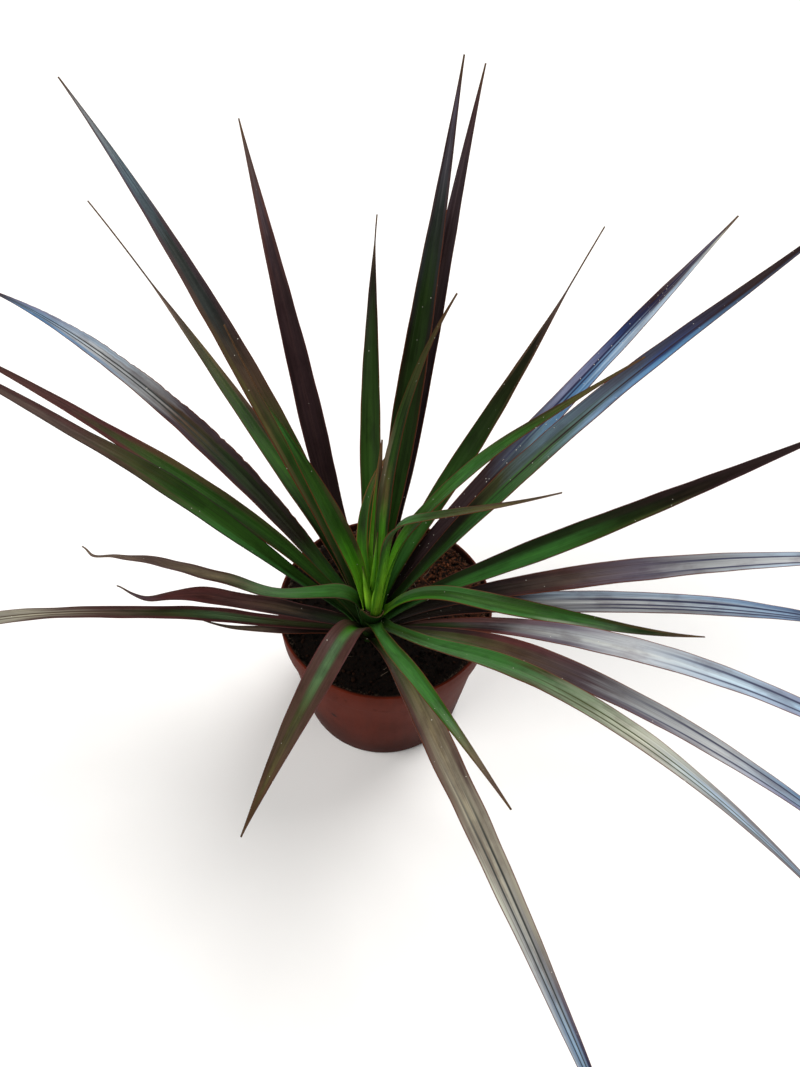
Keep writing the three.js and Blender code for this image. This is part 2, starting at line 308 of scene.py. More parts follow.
@dataclass(frozen=True)
class PlasticFinish:
    """Moulded plastic with faint drawn streaks, scuffs and soil smudges, darker towards the bottom in painted shade,
    and with painted shade speckled like soil on the inner wall under the rim.
    """

    base: Tone = Tone.TERRACOTTA
    shade: Tone = Tone.TERRACOTTA_DARK
    soil: Tone = Tone.PEAT
    roughness: float = 0.55
    mark: tuple[float, float, float] = (-27.7, -45.5, 45.0)
    mark_size: float = 2.6

    def material(self, name: str, height: float, radius: float) -> bpy.types.Material:
        """Builds the finish.

        Args:
            name: the material's name.
            height: the pot's height in mm.
            radius: the radius of its rim in mm.

        Returns:
            The material.
        """
        board = Board(name)
        at = board.place()
        x, y, z = board.split(at)
        streaks = board.noise(board.vector(x, y, z * 0.12), 260, 4)
        clouds = board.noise(at, 34, 3)
        grain = board.noise(at, 2400, 2)
        # Painted shade: the pot's colour darkens towards the bottom, near the floor, mixed with random clouds.
        low = board.span(z, 0.0, height * 0.5 * MM, 0.75, 0.0)
        tint = clouds * 0.55 + low * 0.5
        colour = board.mix(board.span(tint, 0.1, 0.75), self.base.linear(), self.shade.linear())
        colour = board.mix(board.span(streaks, 0.35, 0.75, 0.0, 0.22), colour, self.shade.linear())
        smudge = board.span(board.noise(at, 95, 5, 0.65), 0.56,
                            0.72) * board.span(z, height * 0.55 * MM, height * MM, 0.1, 0.5)
        colour = board.mix(smudge, colour, self.soil.linear())
        off = board.out("VectorMath", "Value", {0: at, 1: tuple(v * MM for v in self.mark)},
                        operation="DISTANCE")
        off = off + (grain - 0.5) * (1.2 * MM)
        colour = board.mix(board.span(off, self.mark_size * 0.3 * MM, self.mark_size * MM, 0.95, 0.0), colour,
                           self.shade.linear(0.2))
        # Painted shade: the inner wall under the rim is darkened with the soil's tone, speckled like a dusting of
        # soil.
        reach = board.out("VectorMath", "Value", {0: board.vector(x, y, 0.0)}, operation="LENGTH")
        inside = board.span(reach, (radius - 0.3) * MM, (radius - 1.5) * MM, 0.0, 0.85)
        dust = inside * board.span(board.noise(at, 420, 4, 0.7), 0.3, 0.5, 0.55, 1.0)
        colour = board.mix(dust * board.math("GREATER_THAN", z, (height - 9) * MM), colour, self.soil.linear())
        rough = clouds * 0.16 + (self.roughness - 0.08)
        rough = rough + smudge * 0.3
        relief = grain * 0.5 + streaks
        return board.surface(Base_Color=colour, Roughness=rough, Specular_IOR_Level=0.05,
                             Normal=board.bump(relief, 0.12, 0.5))


@dataclass(frozen=True)
class PeatFinish:
    """Damp peat, near black, with redder drier crumb towards the back right; the dark front is partly painted shade.
    """

    dark: Tone = Tone.PEAT
    red: Tone = Tone.PEAT_RED
    dust: Tone = Tone.TAN
    dust_reach: tuple[float, float] = (54.5, 57.5)
    roughness: float = 0.95

    def material(self, name: str, toned: bool = False) -> bpy.types.Material:
        """Builds the finish.

        Args:
            name: the material's name.
            toned: whether each crumb carries a tone of its own.

        Returns:
            The material.
        """
        board = Board(name)
        at = board.place()
        x, y, _ = board.split(at)
        # Partly painted shade: the bed stays near black at the front and turns redder towards the back right.
        back = board.span(x + y, 0.012, 0.05)
        grit = board.noise(at, 620, 5, 0.7)
        clods = board.noise(at, 130, 4, 0.6)
        dry = board.span(grit, 0.42, 0.68) * (back * 0.95 + 0.06)
        colour = board.mix(dry, self.dark.linear(0.5), self.red.linear())
        if toned:
            tone = board.out("Attribute", "Fac", attribute_name="tone")
            # Painted light, partly the crumbs' own colour: crumbs towards the back right are lighter and redder.
            lit = board.span(tone, 0.5, 1.0) * (back * 0.8 + 0.1)
            colour = board.mix(lit, colour, self.red.linear(1.5))
            colour = board.mix(board.span(tone, 0.0, 0.4, 0.6, 0.0), colour, self.dark.linear(0.5))
        reach = board.out("VectorMath", "Value", {0: board.vector(x, y, 0.0)}, operation="LENGTH")
        fringe = board.span(reach, self.dust_reach[0] * MM,
                            self.dust_reach[1] * MM) * board.span(grit, 0.48, 0.62, 0.0, 0.6)
        colour = board.mix(fringe, colour, self.dust.linear())
        relief = grit + clods * 1.5
        return board.surface(Base_Color=colour, Roughness=self.roughness, Specular_IOR_Level=0.08,
                             Normal=board.bump(relief, 0.9, 0.9))


@dataclass(frozen=True)
class GritFinish:
    """A plain dry mineral or fibre, mottled with a darker tone."""

    base: Tone
    shade: Tone
    roughness: float = 0.9

    def material(self, name: str) -> bpy.types.Material:
        """Builds the finish and returns its material, which has the name given."""
        board = Board(name)
        at = board.place()
        spots = board.noise(at, 900, 4, 0.65)
        colour = board.mix(board.span(spots, 0.35, 0.7), self.base.linear(), self.shade.linear())
        return board.surface(Base_Color=colour, Roughness=self.roughness, Normal=board.bump(spots, 0.3, 0.7))


@dataclass(frozen=True)
class BarkFinish:
    """A young woody stem, pinkish brown with darker rings and fine cracks."""

    base: Tone = Tone.BARK
    shade: Tone = Tone.BROWN
    roughness: float = 0.82

    def material(self, name: str) -> bpy.types.Material:
        """Builds the finish and returns its material, which has the name given."""
        board = Board(name)
        at = board.place()
        x, y, z = board.split(at)
        rings = board.noise(board.vector(x * 0.3, y * 0.3, z), 900, 3)
        cracks = board.noise(board.vector(x, y, z * 0.25), 1500, 4, 0.65)
        shade = rings * 0.6 + cracks * 0.5
        colour = board.mix(board.span(shade, 0.42, 0.68), self.base.linear(), self.shade.linear())
        return board.surface(Base_Color=colour, Roughness=self.roughness, Normal=board.bump(shade, 0.5, 0.8))


# What the tones of a blade are multiplied by: on pale veins, on dark veins and in worn patches.
PALE_VEIN = (1.7, 1.7, 1.6, 1.0)
DARK_VEIN = (0.45, 0.38, 0.4, 1.0)
WORN = (0.6, 0.55, 0.55, 1.0)
VEINS = 17  # raised veins across a blade


@dataclass(frozen=True)
class BladeFinish:
    """A leaf's colours along its middle and its margins, with the marks of its age and painted light.

    Attributes:
        centre: the tones along the middle band, from the root to the tip.
        side: the tones along the margins.
        left: the tones along the left margin, seen from the stem, where they differ; partly the leaf's own colour and
            partly painted shade, one half of the fold darker than the other.
        margin: where the margins start, from 0 at the rib to 1 at the edge.
        lean: how far the middle band lies to the left of the rib, as a share of the width.
        edge: the tone of the thin line along both edges.
        edge_from: the share of the length at which that line begins.
        grooves: where dark lines of painted shade run along the creases, from 0 at the right edge to 1 at the left,
            seen from the stem.
        groove_from: the share of the length at which they begin.
        groove: their tone, the painted shade of the creases.
        groove_width: half of the width of one, against the width of the blade.
        streak: how strongly the fine veins show.
        ridge_highlight: how much lighter the fold is than the rest, a painted highlight where the fold catches the
            light.
        dry: the share of the length at which the dry tip begins.
        specks: how many pale specks lie on the blade, from 0 to 1.
        roughness: the roughness of its skin.
        gloss: how strongly it mirrors.
        exposure: what the tones are multiplied by, to suit the studio's light.
    """

    centre: Stops
    side: Stops
    left: Stops = ()
    margin: float = 0.55
    lean: float = 0.0
    edge: Tone = Tone.RUST
    edge_from: float = 0.08
    grooves: tuple[float, ...] = ()
    groove_from: float = 0.3
    groove: Tone = Tone.NAVY
    groove_width: float = 0.055
    streak: float = 0.6
    ridge_highlight: float = 0.32
    dry: float = 0.93
    specks: float = 0.15
    roughness: float = 0.42
    gloss: float = 0.1
    exposure: float = 0.83

    def material(self, name: str, length: float, seed: float) -> bpy.types.Material:
        """Builds the finish.

        Args:
            name: the material's name.
            length: the blade's length in mm.
            seed: an offset that gives this leaf marks of its own.

        Returns:
            The material.
        """
        board = Board(name)
        uv = board.out("UVMap", "UV", uv_map="Blade")
        across, along, _ = board.split(uv)
        out = board.math("ABSOLUTE", across - 0.5) * 2
        fine = board.noise(board.vector(across * 26, along * (length / 45), seed), 1, 3, 0.6)
        broad = board.noise(board.vector(across * 7, along * (length / 70), seed + 9), 1, 3, 0.55)
        patches = board.noise(board.vector(across * 1.5, along * (length / 22), seed + 17), 1, 4, 0.6)
        wander = (broad - 0.5) * 0.55
        off_band = board.math("ABSOLUTE", across - (0.5 + self.lean)) * 2
        zone = board.span(off_band + wander, self.margin - 0.16, self.margin + 0.14)
        shifted = along + (broad - 0.5) * 0.12
        margins = board.ramp(shifted, self.side, self.exposure)
        # Partly painted shade: the left half takes tones of its own, so that one half of the fold is darker than the
        # other.
        if self.left:
            on_left = board.span(across, 0.42 + self.lean, 0.58 + self.lean)
            margins = board.mix(on_left, margins, board.ramp(shifted, self.left, self.exposure))
        colour = board.mix(zone, board.ramp(shifted, self.centre, self.exposure), margins)
        comb = fine * 0.55 + broad * 0.45
        colour = board.mix(board.span(comb, 0.5, 0.68, 0.0, self.streak), colour, PALE_VEIN, "MULTIPLY")
        colour = board.mix(board.span(comb, 0.5, 0.34, 0.0, self.streak), colour, DARK_VEIN, "MULTIPLY")
        colour = board.mix(board.span(patches, 0.55, 0.35, 0.0, 0.6), colour, WORN, "MULTIPLY")
        # Painted highlight: the fold along the rib is made lighter, where it catches the light.
        ridge_highlight = board.span(out + wander, 0.02, 0.3, 1.0, 0.0) * board.span(patches, 0.3, 0.6)
        colour = board.mix(ridge_highlight, colour, (1 + self.ridge_highlight, 1 + self.ridge_highlight, 1 + self.ridge_highlight * 0.7, 1.0),
                           "MULTIPLY")
        # Painted shade: dark lines along the creases, where the mirrored sheen breaks.
        lines: Source = 0.0
        for groove in self.grooves:
            off = board.math("ABSOLUTE", across - groove)
            line = board.span(off + wander * 0.02, 0.015, self.groove_width, 1.0, 0.0)
            lines = board.math("MAXIMUM", lines, line)
        if self.grooves:
            begun = board.span(shifted, self.groove_from - 0.08, self.groove_from + 0.1, 0.0, 0.95)
            colour = board.mix(lines * begun, colour, self.groove.linear(self.exposure))
        rim = board.span(out + wander * 0.1, 0.9, 0.98, 0.0, 0.85)
        rim = rim * board.span(shifted, self.edge_from - 0.08, self.edge_from + 0.1)
        colour = board.mix(rim, colour, self.edge.linear(self.exposure))
        dried = board.span(along + (fine - 0.5) * 0.06,
                           self.dry, min(self.dry + 0.05, 1.0), 0.0, 0.9)
        colour = board.mix(dried, colour, Tone.BROWN.linear(self.exposure))
        if self.specks:
            cells = board.add("TexVoronoi", {"Vector": board.vector(across * 9, along * (length / 1.6), seed),
                                             "Scale": 1.0}, feature="F1")
            dots = board.span(cells.outputs["Distance"], 0.1, 0.2, 1.0, 0.0)
            few = board.math("LESS_THAN", board.split(cells.outputs["Color"])[0], self.specks * 0.1)
            colour = board.mix(dots * few, colour, Tone.CHALK.linear())
        veins = board.math("SINE", across * (2 * math.pi * VEINS)) * 0.5
        relief = veins * 0.35 + (fine + patches * 0.3)
        relief = relief - lines * 0.8
        rough = patches * 0.14 + (self.roughness - 0.07)
        rough = rough + dried * 0.25
        return board.surface(Base_Color=colour, Roughness=rough, Specular_IOR_Level=self.gloss,
                             Normal=board.bump(relief, 0.22, 0.6))


def finished(name: str, mesh_of: bmesh.types.BMesh, material: bpy.types.Material,
             nodes: Iterable[str] = (), sharp: float = 40) -> bpy.types.Object:
    """Turns a bmesh into a piece of the plant that rides on the part's one body.

    Args:
        name: the piece's name.
        mesh_of: its shape, in metres, in place. It is freed.
        material: its finish.
        nodes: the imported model's nodes that it stands for.
        sharp: the angle past which an edge stays sharp.

    Returns:
        The piece.
    """
    mesh = bpy.data.meshes.new(name)
    mesh_of.to_mesh(mesh)
    mesh_of.free()
    mesh.shade_smooth()
    mesh.set_sharp_from_angle(angle=math.radians(sharp))
    mesh.materials.append(material)
    piece = bpy.data.objects.new(name, mesh)
    bpy.context.scene.collection.objects.link(piece)
    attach(piece, BODY)
    if nodes:
        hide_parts(*nodes)
    log.info("%s: %d faces", name, len(mesh.polygons))
    return piece


def spun(profile: Sequence[tuple[float, float]], sides: int) -> bmesh.types.BMesh:
    """Turns a profile about +Z.

    Args:
        profile: radius and height pairs in mm, from the axis round to the axis.
        sides: the number of steps in the turn.

    Returns:
        The closed shape.
    """
    shape = bmesh.new()
    corners = [shape.verts.new((radius * MM, 0, z * MM)) for radius, z in profile]
    edges = [shape.edges.new(pair) for pair in zip(corners, corners[1:])]
    bmesh.ops.spin(shape, geom=corners + edges, axis=(0, 0, 1), cent=(0, 0, 0), angle=2 * math.pi,
                   steps=sides, use_merge=True)
    bmesh.ops.remove_doubles(shape, verts=shape.verts, dist=1e-6)
    bmesh.ops.recalc_face_normals(shape, faces=shape.faces)
    return shape


def arc(centre: tuple[float, float], radius: float, start: float, end: float,
        steps: int) -> list[tuple[float, float]]:
    """Returns the points of a rounded corner of a profile.

    Args:
        centre: the middle of the rounding.
        radius: its radius.
        start: the angle it starts at, from outwards towards up.
        end: the angle it ends at.
        steps: the number of flats.
    """
    turn = [math.radians(lerp(start, end, i / steps)) for i in range(steps + 1)]
    return [(centre[0] + radius * math.cos(a), centre[1] + radius * math.sin(a)) for a in turn]


def applied(piece: bpy.types.Object) -> None:
    """Makes a piece's modifiers part of its mesh."""
    graph = bpy.context.evaluated_depsgraph_get()
    made = bpy.data.meshes.new_from_object(piece.evaluated_get(graph))
    piece.modifiers.clear()
    piece.data = made


@dataclass
class Pot:
    """The round nursery pot: a tapering body, a plain band under the rim, and drain holes."""

    rim_radius: float = 60
    base_radius: float = 47.5
    height: float = 92.5
    wall: float = 1.8
    floor: float = 2.6
    band: float = 18.5
    band_taper: float = 1.2
    band_step: float = 1.8
    lip: float = 0.8
    foot_round: float = 2
    drain_radius: float = 4
    drain_ring: float = 33
    drains: int = 8
    sides: int = 192
    finish: PlasticFinish = PlasticFinish()

    @property
    def band_foot(self) -> float:
        """The height of the band's lower edge."""
        return self.height - self.band

    def body_radius(self, z: float) -> float:
        """Returns the outer radius of the body at a height."""
        top = self.rim_radius - self.band_taper - self.band_step
        return lerp(self.base_radius, top, z / self.band_foot)

    def inside_radius(self, z: float) -> float:
        """Returns the inner radius at a height."""
        if z <= self.band_foot:
            return self.body_radius(z) - self.wall
        share = (z - self.band_foot) / self.band
        return lerp(self.body_radius(self.band_foot) - self.wall, self.rim_radius - self.wall, share)

    def profile(self) -> list[tuple[float, float]]:
        """Returns the profile of the wall, floor and rim."""
        foot, top, inner = self.band_foot, self.height, self.inside_radius(self.height)
        half = self.lip * 0.8
        body = [(self.body_radius(lerp(3, foot - 0.6, i / 8)), lerp(3, foot - 0.6, i / 8)) for i in range(9)]
        band = self.rim_radius - self.band_taper
        return [
            (0, 0.8),
            (self.base_radius - 9, 0.8),
            (self.base_radius - 7.5, 0),
            *arc((self.base_radius - self.foot_round, self.foot_round), self.foot_round, -90, -8, 6),
            *body,
            (self.body_radius(foot) + 0.35, foot - 0.1),
            *arc((band - 0.5, foot + 0.5), 0.5, -90, 0, 4),
            (lerp(band, self.rim_radius, 0.5), foot + self.band / 2),
            *arc((self.rim_radius - half, top - half), half, 0, 90, 5),
            *arc((inner + half * 0.7, top - half * 0.7), half * 0.7, 90, 180, 4),
            (self.inside_radius(top - 4), top - 4),
            (self.inside_radius(foot), foot),
            (self.inside_radius(self.floor + 2), self.floor + 2),
            (self.inside_radius(self.floor) - 2, self.floor),
            (0, self.floor),
        ]

    def build(self) -> bpy.types.Object:
        """Makes the pot, with its holes cut, and returns it."""
        pot = finished("pot_shell", spun(self.profile(), self.sides),
                       self.finish.material("terracotta_plastic", self.height, self.rim_radius),
                       ["pot"], 32)
        drills = bmesh.new()
        for i in range(self.drains):
            middle = turned_to(360 * i / self.drains) * self.drain_ring * MM
            bmesh.ops.create_cone(drills, cap_ends=True, segments=32, radius1=self.drain_radius * MM,
                                  radius2=self.drain_radius * MM, depth=12 * MM,
                                  matrix=Matrix.Translation(middle))
        mesh = bpy.data.meshes.new("drills")
        drills.to_mesh(mesh)
        drills.free()
        tool = bpy.data.objects.new("drills", mesh)
        bpy.context.scene.collection.objects.link(tool)
        cut = pot.modifiers.new("drain holes", "BOOLEAN")
        cut.operation = "DIFFERENCE"
        cut.solver = "EXACT"
        cut.object = tool
        applied(pot)
        bpy.data.objects.remove(tool)
        bpy.data.meshes.remove(mesh)
        return pot


@dataclass
class Stem:
    """The short stem, which leans towards the front, off the middle of the pot."""

    x: float = -8
    y: float = -18
    lean_x: float = 0.03
    lean_y: float = -0.2
    soil_top: float = 89.5
    depth: float = 42
    height: float = 36
    foot_radius: float = 5.6
    top_radius: float = 3.4
    scar_step: float = 4
    sides: int = 48
    finish: BarkFinish = BarkFinish()

    def axis(self, z: float) -> Vector:
        """Returns the middle of the stem at a height."""
        up = z - self.soil_top
        return Vector((self.x + self.lean_x * up, self.y + self.lean_y * up, z))

    def radius(self, z: float) -> float:
        """Returns the stem's radius at a height."""
        return lerp(self.foot_radius, self.top_radius, clamp((z - self.soil_top) / self.height))

    def build(self) -> bpy.types.Object:
        """Makes the stem with its leaf scars and returns it."""
        foot, top = self.soil_top - self.depth, self.soil_top + self.height
        profile = [(0, foot), (self.foot_radius - 0.7, foot), (self.foot_radius, foot + 0.7),
                   (self.foot_radius, self.soil_top - 4)]
        z = self.soil_top - 2
        while z < top - 1.5:
            full = self.radius(z)
            profile += [(full, z), (full, z + 0.25), (full - 0.35, z + 0.6), (full - 0.3, z + 1.2),
                        (full - 0.1, z + 2.6)]
            z += self.scar_step
        profile += [(self.top_radius - 0.35, top), (0, top)]
        shape = spun(profile, self.sides)
        for corner in shape.verts:
            z = corner.co.z / MM
            rough = noise.noise(corner.co * 700) * 0.16 * MM
            level = Vector((corner.co.x, corner.co.y, 0))
            middle = self.axis(z) * MM
            out = level.normalized() * rough * clamp(level.length / MM)
            corner.co = Vector((middle.x, middle.y, corner.co.z)) + level + out
        return finished("stem_wood", shape, self.finish.material("young_bark"), ["stem"])


@dataclass
class Soil:
    """The peat that fills the pot, with loose crumbs, fibres and a few pale grains on it."""

    pot: Pot
    stem: Stem
    top: float = 89.5
    gap: float = 0.3
    mound: float = 2.2
    spread: float = 20
    uneven: float = 0.5
    back_rise: float = 1.2
    sides: int = 150
    crumbs: int = 1500
    fibres: int = 46
    grains: int = 12
    peat: PeatFinish = PeatFinish()
    chalk: GritFinish = GritFinish(Tone.CHALK, Tone.STRAW)
    fibre: GritFinish = GritFinish(Tone.TAN, Tone.UMBER)
    seed: int = 7
    dice: random.Random = field(init=False)

    def __post_init__(self) -> None:
        """Seeds the scatter."""
        self.dice = random.Random(self.seed)

    def height_at(self, x: float, y: float) -> float:
        """Returns the height of the soil's surface at a place."""
        away = math.hypot(x - self.stem.x, y - self.stem.y) / self.spread
        mound = self.mound * (math.exp(-away * away) - 0.5)
        waves = self.uneven * math.sin(x / 5 + 1) * math.cos(y / 6)
        lumps = 0.55 * noise.noise(Vector((x, y, 0)) / 3.1) + 0.3 * noise.noise(Vector((x, y, 5)) / 1.3)
        return self.top + mound + waves + self.back_rise * smooth((x + y) / 60 - 0.2) + lumps

    def edge(self) -> float:
        """Returns the radius of the soil's surface."""
        return self.pot.inside_radius(self.top) - self.gap

    def build_bed(self) -> bpy.types.Object:
        """Makes the body of the soil and returns it."""
        low, foot, edge = self.pot.floor + self.gap, self.pot.band_foot, self.edge()
        rings = 58
        profile = [(0, low), (self.pot.inside_radius(low + 2) - self.gap - 1.5, low),
                   (self.pot.inside_radius(low + 2) - self.gap, low + 2),
                   (self.pot.inside_radius(foot) - self.gap, foot)]
        profile += [(edge * (1 - i / rings), self.top) for i in range(rings)] + [(0, self.top)]
        shape = spun(profile, self.sides)
        for corner in shape.verts:
            if corner.co.z > (self.top - 1) * MM:
                corner.co.z = self.height_at(corner.co.x / MM, corner.co.y / MM) * MM
        return finished("soil_bed", shape, self.peat.material("damp_peat"), ["soil"], 80)

    def somewhere(self, reach: float) -> Vector:
        """Returns a random place on the surface, clear of the stem.

        Args:
            reach: how far from the pot's middle it may be.
        """
        while True:
            place = turned_to(self.dice.uniform(0, 360)) * reach * math.sqrt(self.dice.random())
            if math.hypot(place.x - self.stem.x, place.y - self.stem.y) > self.stem.foot_radius + 1.5:
                return Vector((place.x, place.y, self.height_at(place.x, place.y)))

    def scatter(self, count: int, small: float, large: float, sink: float, squash: float) -> bmesh.types.BMesh:
        """Makes loose lumps on the surface, each with a tone of its own.

        Args:
            count: how many.
            small: the smallest radius.
            large: the largest radius.
            sink: the share of the radius that lies in the soil.
            squash: the height of a lump against its width.

        Returns:
            The lumps, with a tone on each corner.
        """
        shape = bmesh.new()
        tone = shape.verts.layers.float.new("tone")
        for _ in range(count):
            size = lerp(small, large, self.dice.random() ** 3)
            place = self.somewhere(self.edge() - size - 0.3)
            place.z += size * squash * (1 - sink)
            turn = Matrix.Rotation(self.dice.uniform(0, 6.3), 4, "Z")
            turn = turn @ Matrix.Rotation(self.dice.uniform(-0.5, 0.5), 4, "X")
            stretch = Matrix.Diagonal((1.0, self.dice.uniform(0.55, 1), squash, 1))
            ball = bmesh.ops.create_icosphere(shape, subdivisions=1, radius=size * MM,
                                              matrix=Matrix.Translation(place * MM) @ turn @ stretch)
            shade = self.dice.random()
            middle = place * MM
            for corner in ball["verts"]:
                corner[tone] = shade
                corner.co = middle + (corner.co - middle) * self.dice.uniform(0.72, 1.15)
        return shape

    def build_crumbs(self) -> bpy.types.Object:
        """Makes the loose crumbs of peat and returns them."""
        shape = self.scatter(self.crumbs, 0.45, 2.0, 0.45, 0.7)
        return finished("soil_crumbs", shape, self.peat.material("loose_peat", True), (), 80)

    def build_grains(self) -> bpy.types.Object:
        """Makes the few pale grains and returns them."""
        shape = self.scatter(self.grains, 0.35, 1.0, 0.3, 0.8)
        return finished("soil_grains", shape, self.chalk.material("pale_grain"), (), 80)

    def build_fibres(self) -> bpy.types.Object:
        """Makes the thin fibres that lie on the soil and returns them."""
        whole = bmesh.new()
        steps, sides = 9, 5
        for _ in range(self.fibres):
            length, thick = self.dice.uniform(4, 13), self.dice.uniform(0.07, 0.15)
            place = self.somewhere(self.edge() - 12)
            heading, curl = self.dice.uniform(0, 360), self.dice.uniform(-9, 9)
            path = []
            for i in range(steps + 1):
                z = self.height_at(place.x, place.y) + 0.55 + 0.5 * math.sin(i * 0.9 + curl)
                path.append((Vector((place.x, place.y, z)), heading))
                ahead = place + turned_to(heading) * length / steps
                if math.hypot(ahead.x, ahead.y) < self.edge() - 1:
                    place = ahead
                else:
                    place = place + turned_to(heading) * 0.2
                heading += curl + self.dice.uniform(-12, 12)
            grid = bmesh.ops.create_grid(whole, x_segments=sides, y_segments=steps, size=1)
            for corner in grid["verts"]:
                around, row = (corner.co.x + 1) * math.pi, round((corner.co.y + 1) / 2 * steps)
                middle, toward = path[row]
                radius = thick * (0.35 if row in (0, steps) else 1)
                out = turned_to(toward + 90) * math.cos(around) + Vector((0, 0, math.sin(around)))
                corner.co = (middle + out * radius) * MM
        bmesh.ops.remove_doubles(whole, verts=whole.verts, dist=1e-7)
        bmesh.ops.recalc_face_normals(whole, faces=whole.faces)
        return finished("soil_fibres", whole, self.fibre.material("dry_fibre"), (), 80)

    def build(self) -> None:
        """Makes the soil and what lies on it."""
        self.build_bed()
        self.build_crumbs()
        self.build_grains()
        self.build_fibres()


@dataclass(frozen=True)
class Bends:
    """How a blade departs from a plain arch.

    Attributes:
        neck: a quick bend, in degrees.
        at: the share of the length at its middle.
        span: the share of the length that it takes.
        sweep: how far the blade turns to the left on its way.
        flick: the upward turn of its tip.
        wire: the share of the length that is a dry wiry tip.
    """

    neck: float = 0
    at: float = 0.15
    span: float = 0.24
    sweep: float = 0
    flick: float = 0
    wire: float = 0


@dataclass
class Blade:
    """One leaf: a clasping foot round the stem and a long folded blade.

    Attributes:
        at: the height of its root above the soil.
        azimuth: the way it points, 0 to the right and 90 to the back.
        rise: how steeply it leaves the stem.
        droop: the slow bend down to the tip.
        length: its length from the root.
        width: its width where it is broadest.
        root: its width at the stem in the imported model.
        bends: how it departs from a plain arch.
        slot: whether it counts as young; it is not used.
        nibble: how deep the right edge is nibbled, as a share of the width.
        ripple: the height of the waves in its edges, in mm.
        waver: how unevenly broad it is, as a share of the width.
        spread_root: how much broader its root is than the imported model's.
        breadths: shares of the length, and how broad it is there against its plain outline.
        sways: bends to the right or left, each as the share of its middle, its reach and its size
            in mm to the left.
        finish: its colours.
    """

    at: float
    azimuth: float
    rise: float
    droop: float
    length: float
    width: float
    root: float
    bends: Bends
    finish: BladeFinish
    slot: Slot = Slot.LEAF
    nibble: float = 0
    ripple: float = 0.25
    waver: float = 0.05
    spread_root: float = 1.15
    breadths: tuple[tuple[float, float], ...] = ((0, 1), (1, 1))
    sways: tuple[tuple[float, float, float], ...] = ()
    tip_width: float = 0.9
    broadest: float = 0.38
    rib: float = 0.95
    rib_step: float = 0.4
    foot: float = 7
    foot_rows: int = 8
    across: int = 18

    def width_at(self, share: float) -> float:
        """Returns the width at a share of the length."""
        inside = share / (1 - self.bends.wire)
        if inside >= 1:
            return self.tip_width
        if inside < self.broadest:
            return lerp(self.root * self.spread_root, self.width, smooth(inside / self.broadest))
        out = (inside - self.broadest) / (1 - self.broadest)
        return self.tip_width + (self.width - self.tip_width) * (1 - out**1.6) ** 1.3

    def breadth(self, share: float) -> float:
        """Returns how broad the blade is at a share of the length, against its plain outline."""
        for (low, narrow), (high, wide) in zip(self.breadths, self.breadths[1:]):
            if share <= high:
                return lerp(narrow, wide, smooth((share - low) / (high - low)))
        return self.breadths[-1][1]

    def sway(self, share: float) -> float:
        """Returns how far the blade bends to the left at a share of the length, in mm."""
        return sum(size * math.exp(-(((share - middle) / reach) ** 2)) for middle, reach, size in self.sways)

    def heading(self, share: float) -> float:
        """Returns the level direction of the blade, in degrees, at a share of the length."""
        return self.azimuth + self.bends.sweep * share

    def direction(self, share: float) -> Vector:
        """Returns the direction of the middle line at a share of the length."""
        bends = self.bends
        bent = smooth((share - bends.at) / bends.span + 0.5) - smooth(0.5 - bends.at / bends.span)
        slope = self.rise - bends.neck * bent - self.droop * share**1.4
        slope += bends.flick * smooth((share - 0.7) / 0.3)
        up = math.radians(slope)
        return turned_to(self.heading(share)) * math.cos(up) + Vector((0, 0, math.sin(up)))

    def middle_line(self, stem: Stem, steps: int) -> list[Vector]:
        """Returns the middle line's points, from the root to the tip.

        Args:
            stem: what the leaf grows on.
            steps: the number of steps along it.
        """
        z = stem.soil_top + self.at
        point = stem.axis(z) + turned_to(self.azimuth) * (stem.radius(z) + self.rib_step + self.rib / 2)
        line = [point.copy()]
        for i in range(1, steps + 1):
            point += self.direction((i - 0.5) / steps) * self.length / steps
            line.append(point.copy())
        return line

    def section(self, share: float, t: float, seed: float) -> tuple[float, float]:
        """Returns how far a point of a section lies to the left and above the rib.

        Args:
            share: the share of the length.
            t: the place across, from -1 at the right edge to 1 at the left.
            seed: an offset that gives the leaf waves of its own.
        """
        half = self.width_at(share) * self.breadth(share) / 2
        fold = math.radians(lerp(26, 18, smooth(share * 2)))
        full = smooth(share * 6) * smooth((1 - share) * 5)
        wavy = noise.noise(Vector((share * self.length / 17, math.copysign(3, t), seed)))
        reach = 1 + self.waver * wavy * full
        if t < 0 and self.nibble:
            bites = noise.noise(Vector((share * self.length / 3.2, 11, seed)))
            bites += 0.5 * noise.noise(Vector((share * self.length / 1.3, 7, seed)))
            reach -= self.nibble * clamp(bites + 0.1) * full
        pleat = 0.11 * (math.cos(abs(t) * 2 * math.pi * 2.5) - 1) * (1 - abs(t) ** 4) * full
        lift = half * math.sin(fold) * abs(t) ** 1.2 + pleat * half / 7
        rippled = noise.noise(Vector((share * self.length / 26, math.copysign(9, t), seed)))
        lift += self.ripple * full * abs(t) ** 3 * rippled
        return half * math.cos(fold) * t * reach, lift

    def foot_point(self, stem: Stem, share: float, t: float) -> Vector:
        """Returns a point of the foot that clasps the stem.

        Args:
            stem: what it clasps.
            share: 0 at the foot's lower end, 1 at the root.
            t: the place across, from -1 to 1.
        """
        z = stem.soil_top + self.at - self.foot * (1 - share)
        radius = stem.radius(z) + lerp(0.25, self.rib_step + self.rib / 2, share)
        return stem.axis(z) + turned_to(self.azimuth + t * self.wrap(share)) * radius

    def wrap(self, share: float) -> float:
        """Returns how far round the stem the foot reaches to each side, in degrees."""
        return lerp(105, 66, smooth(share))

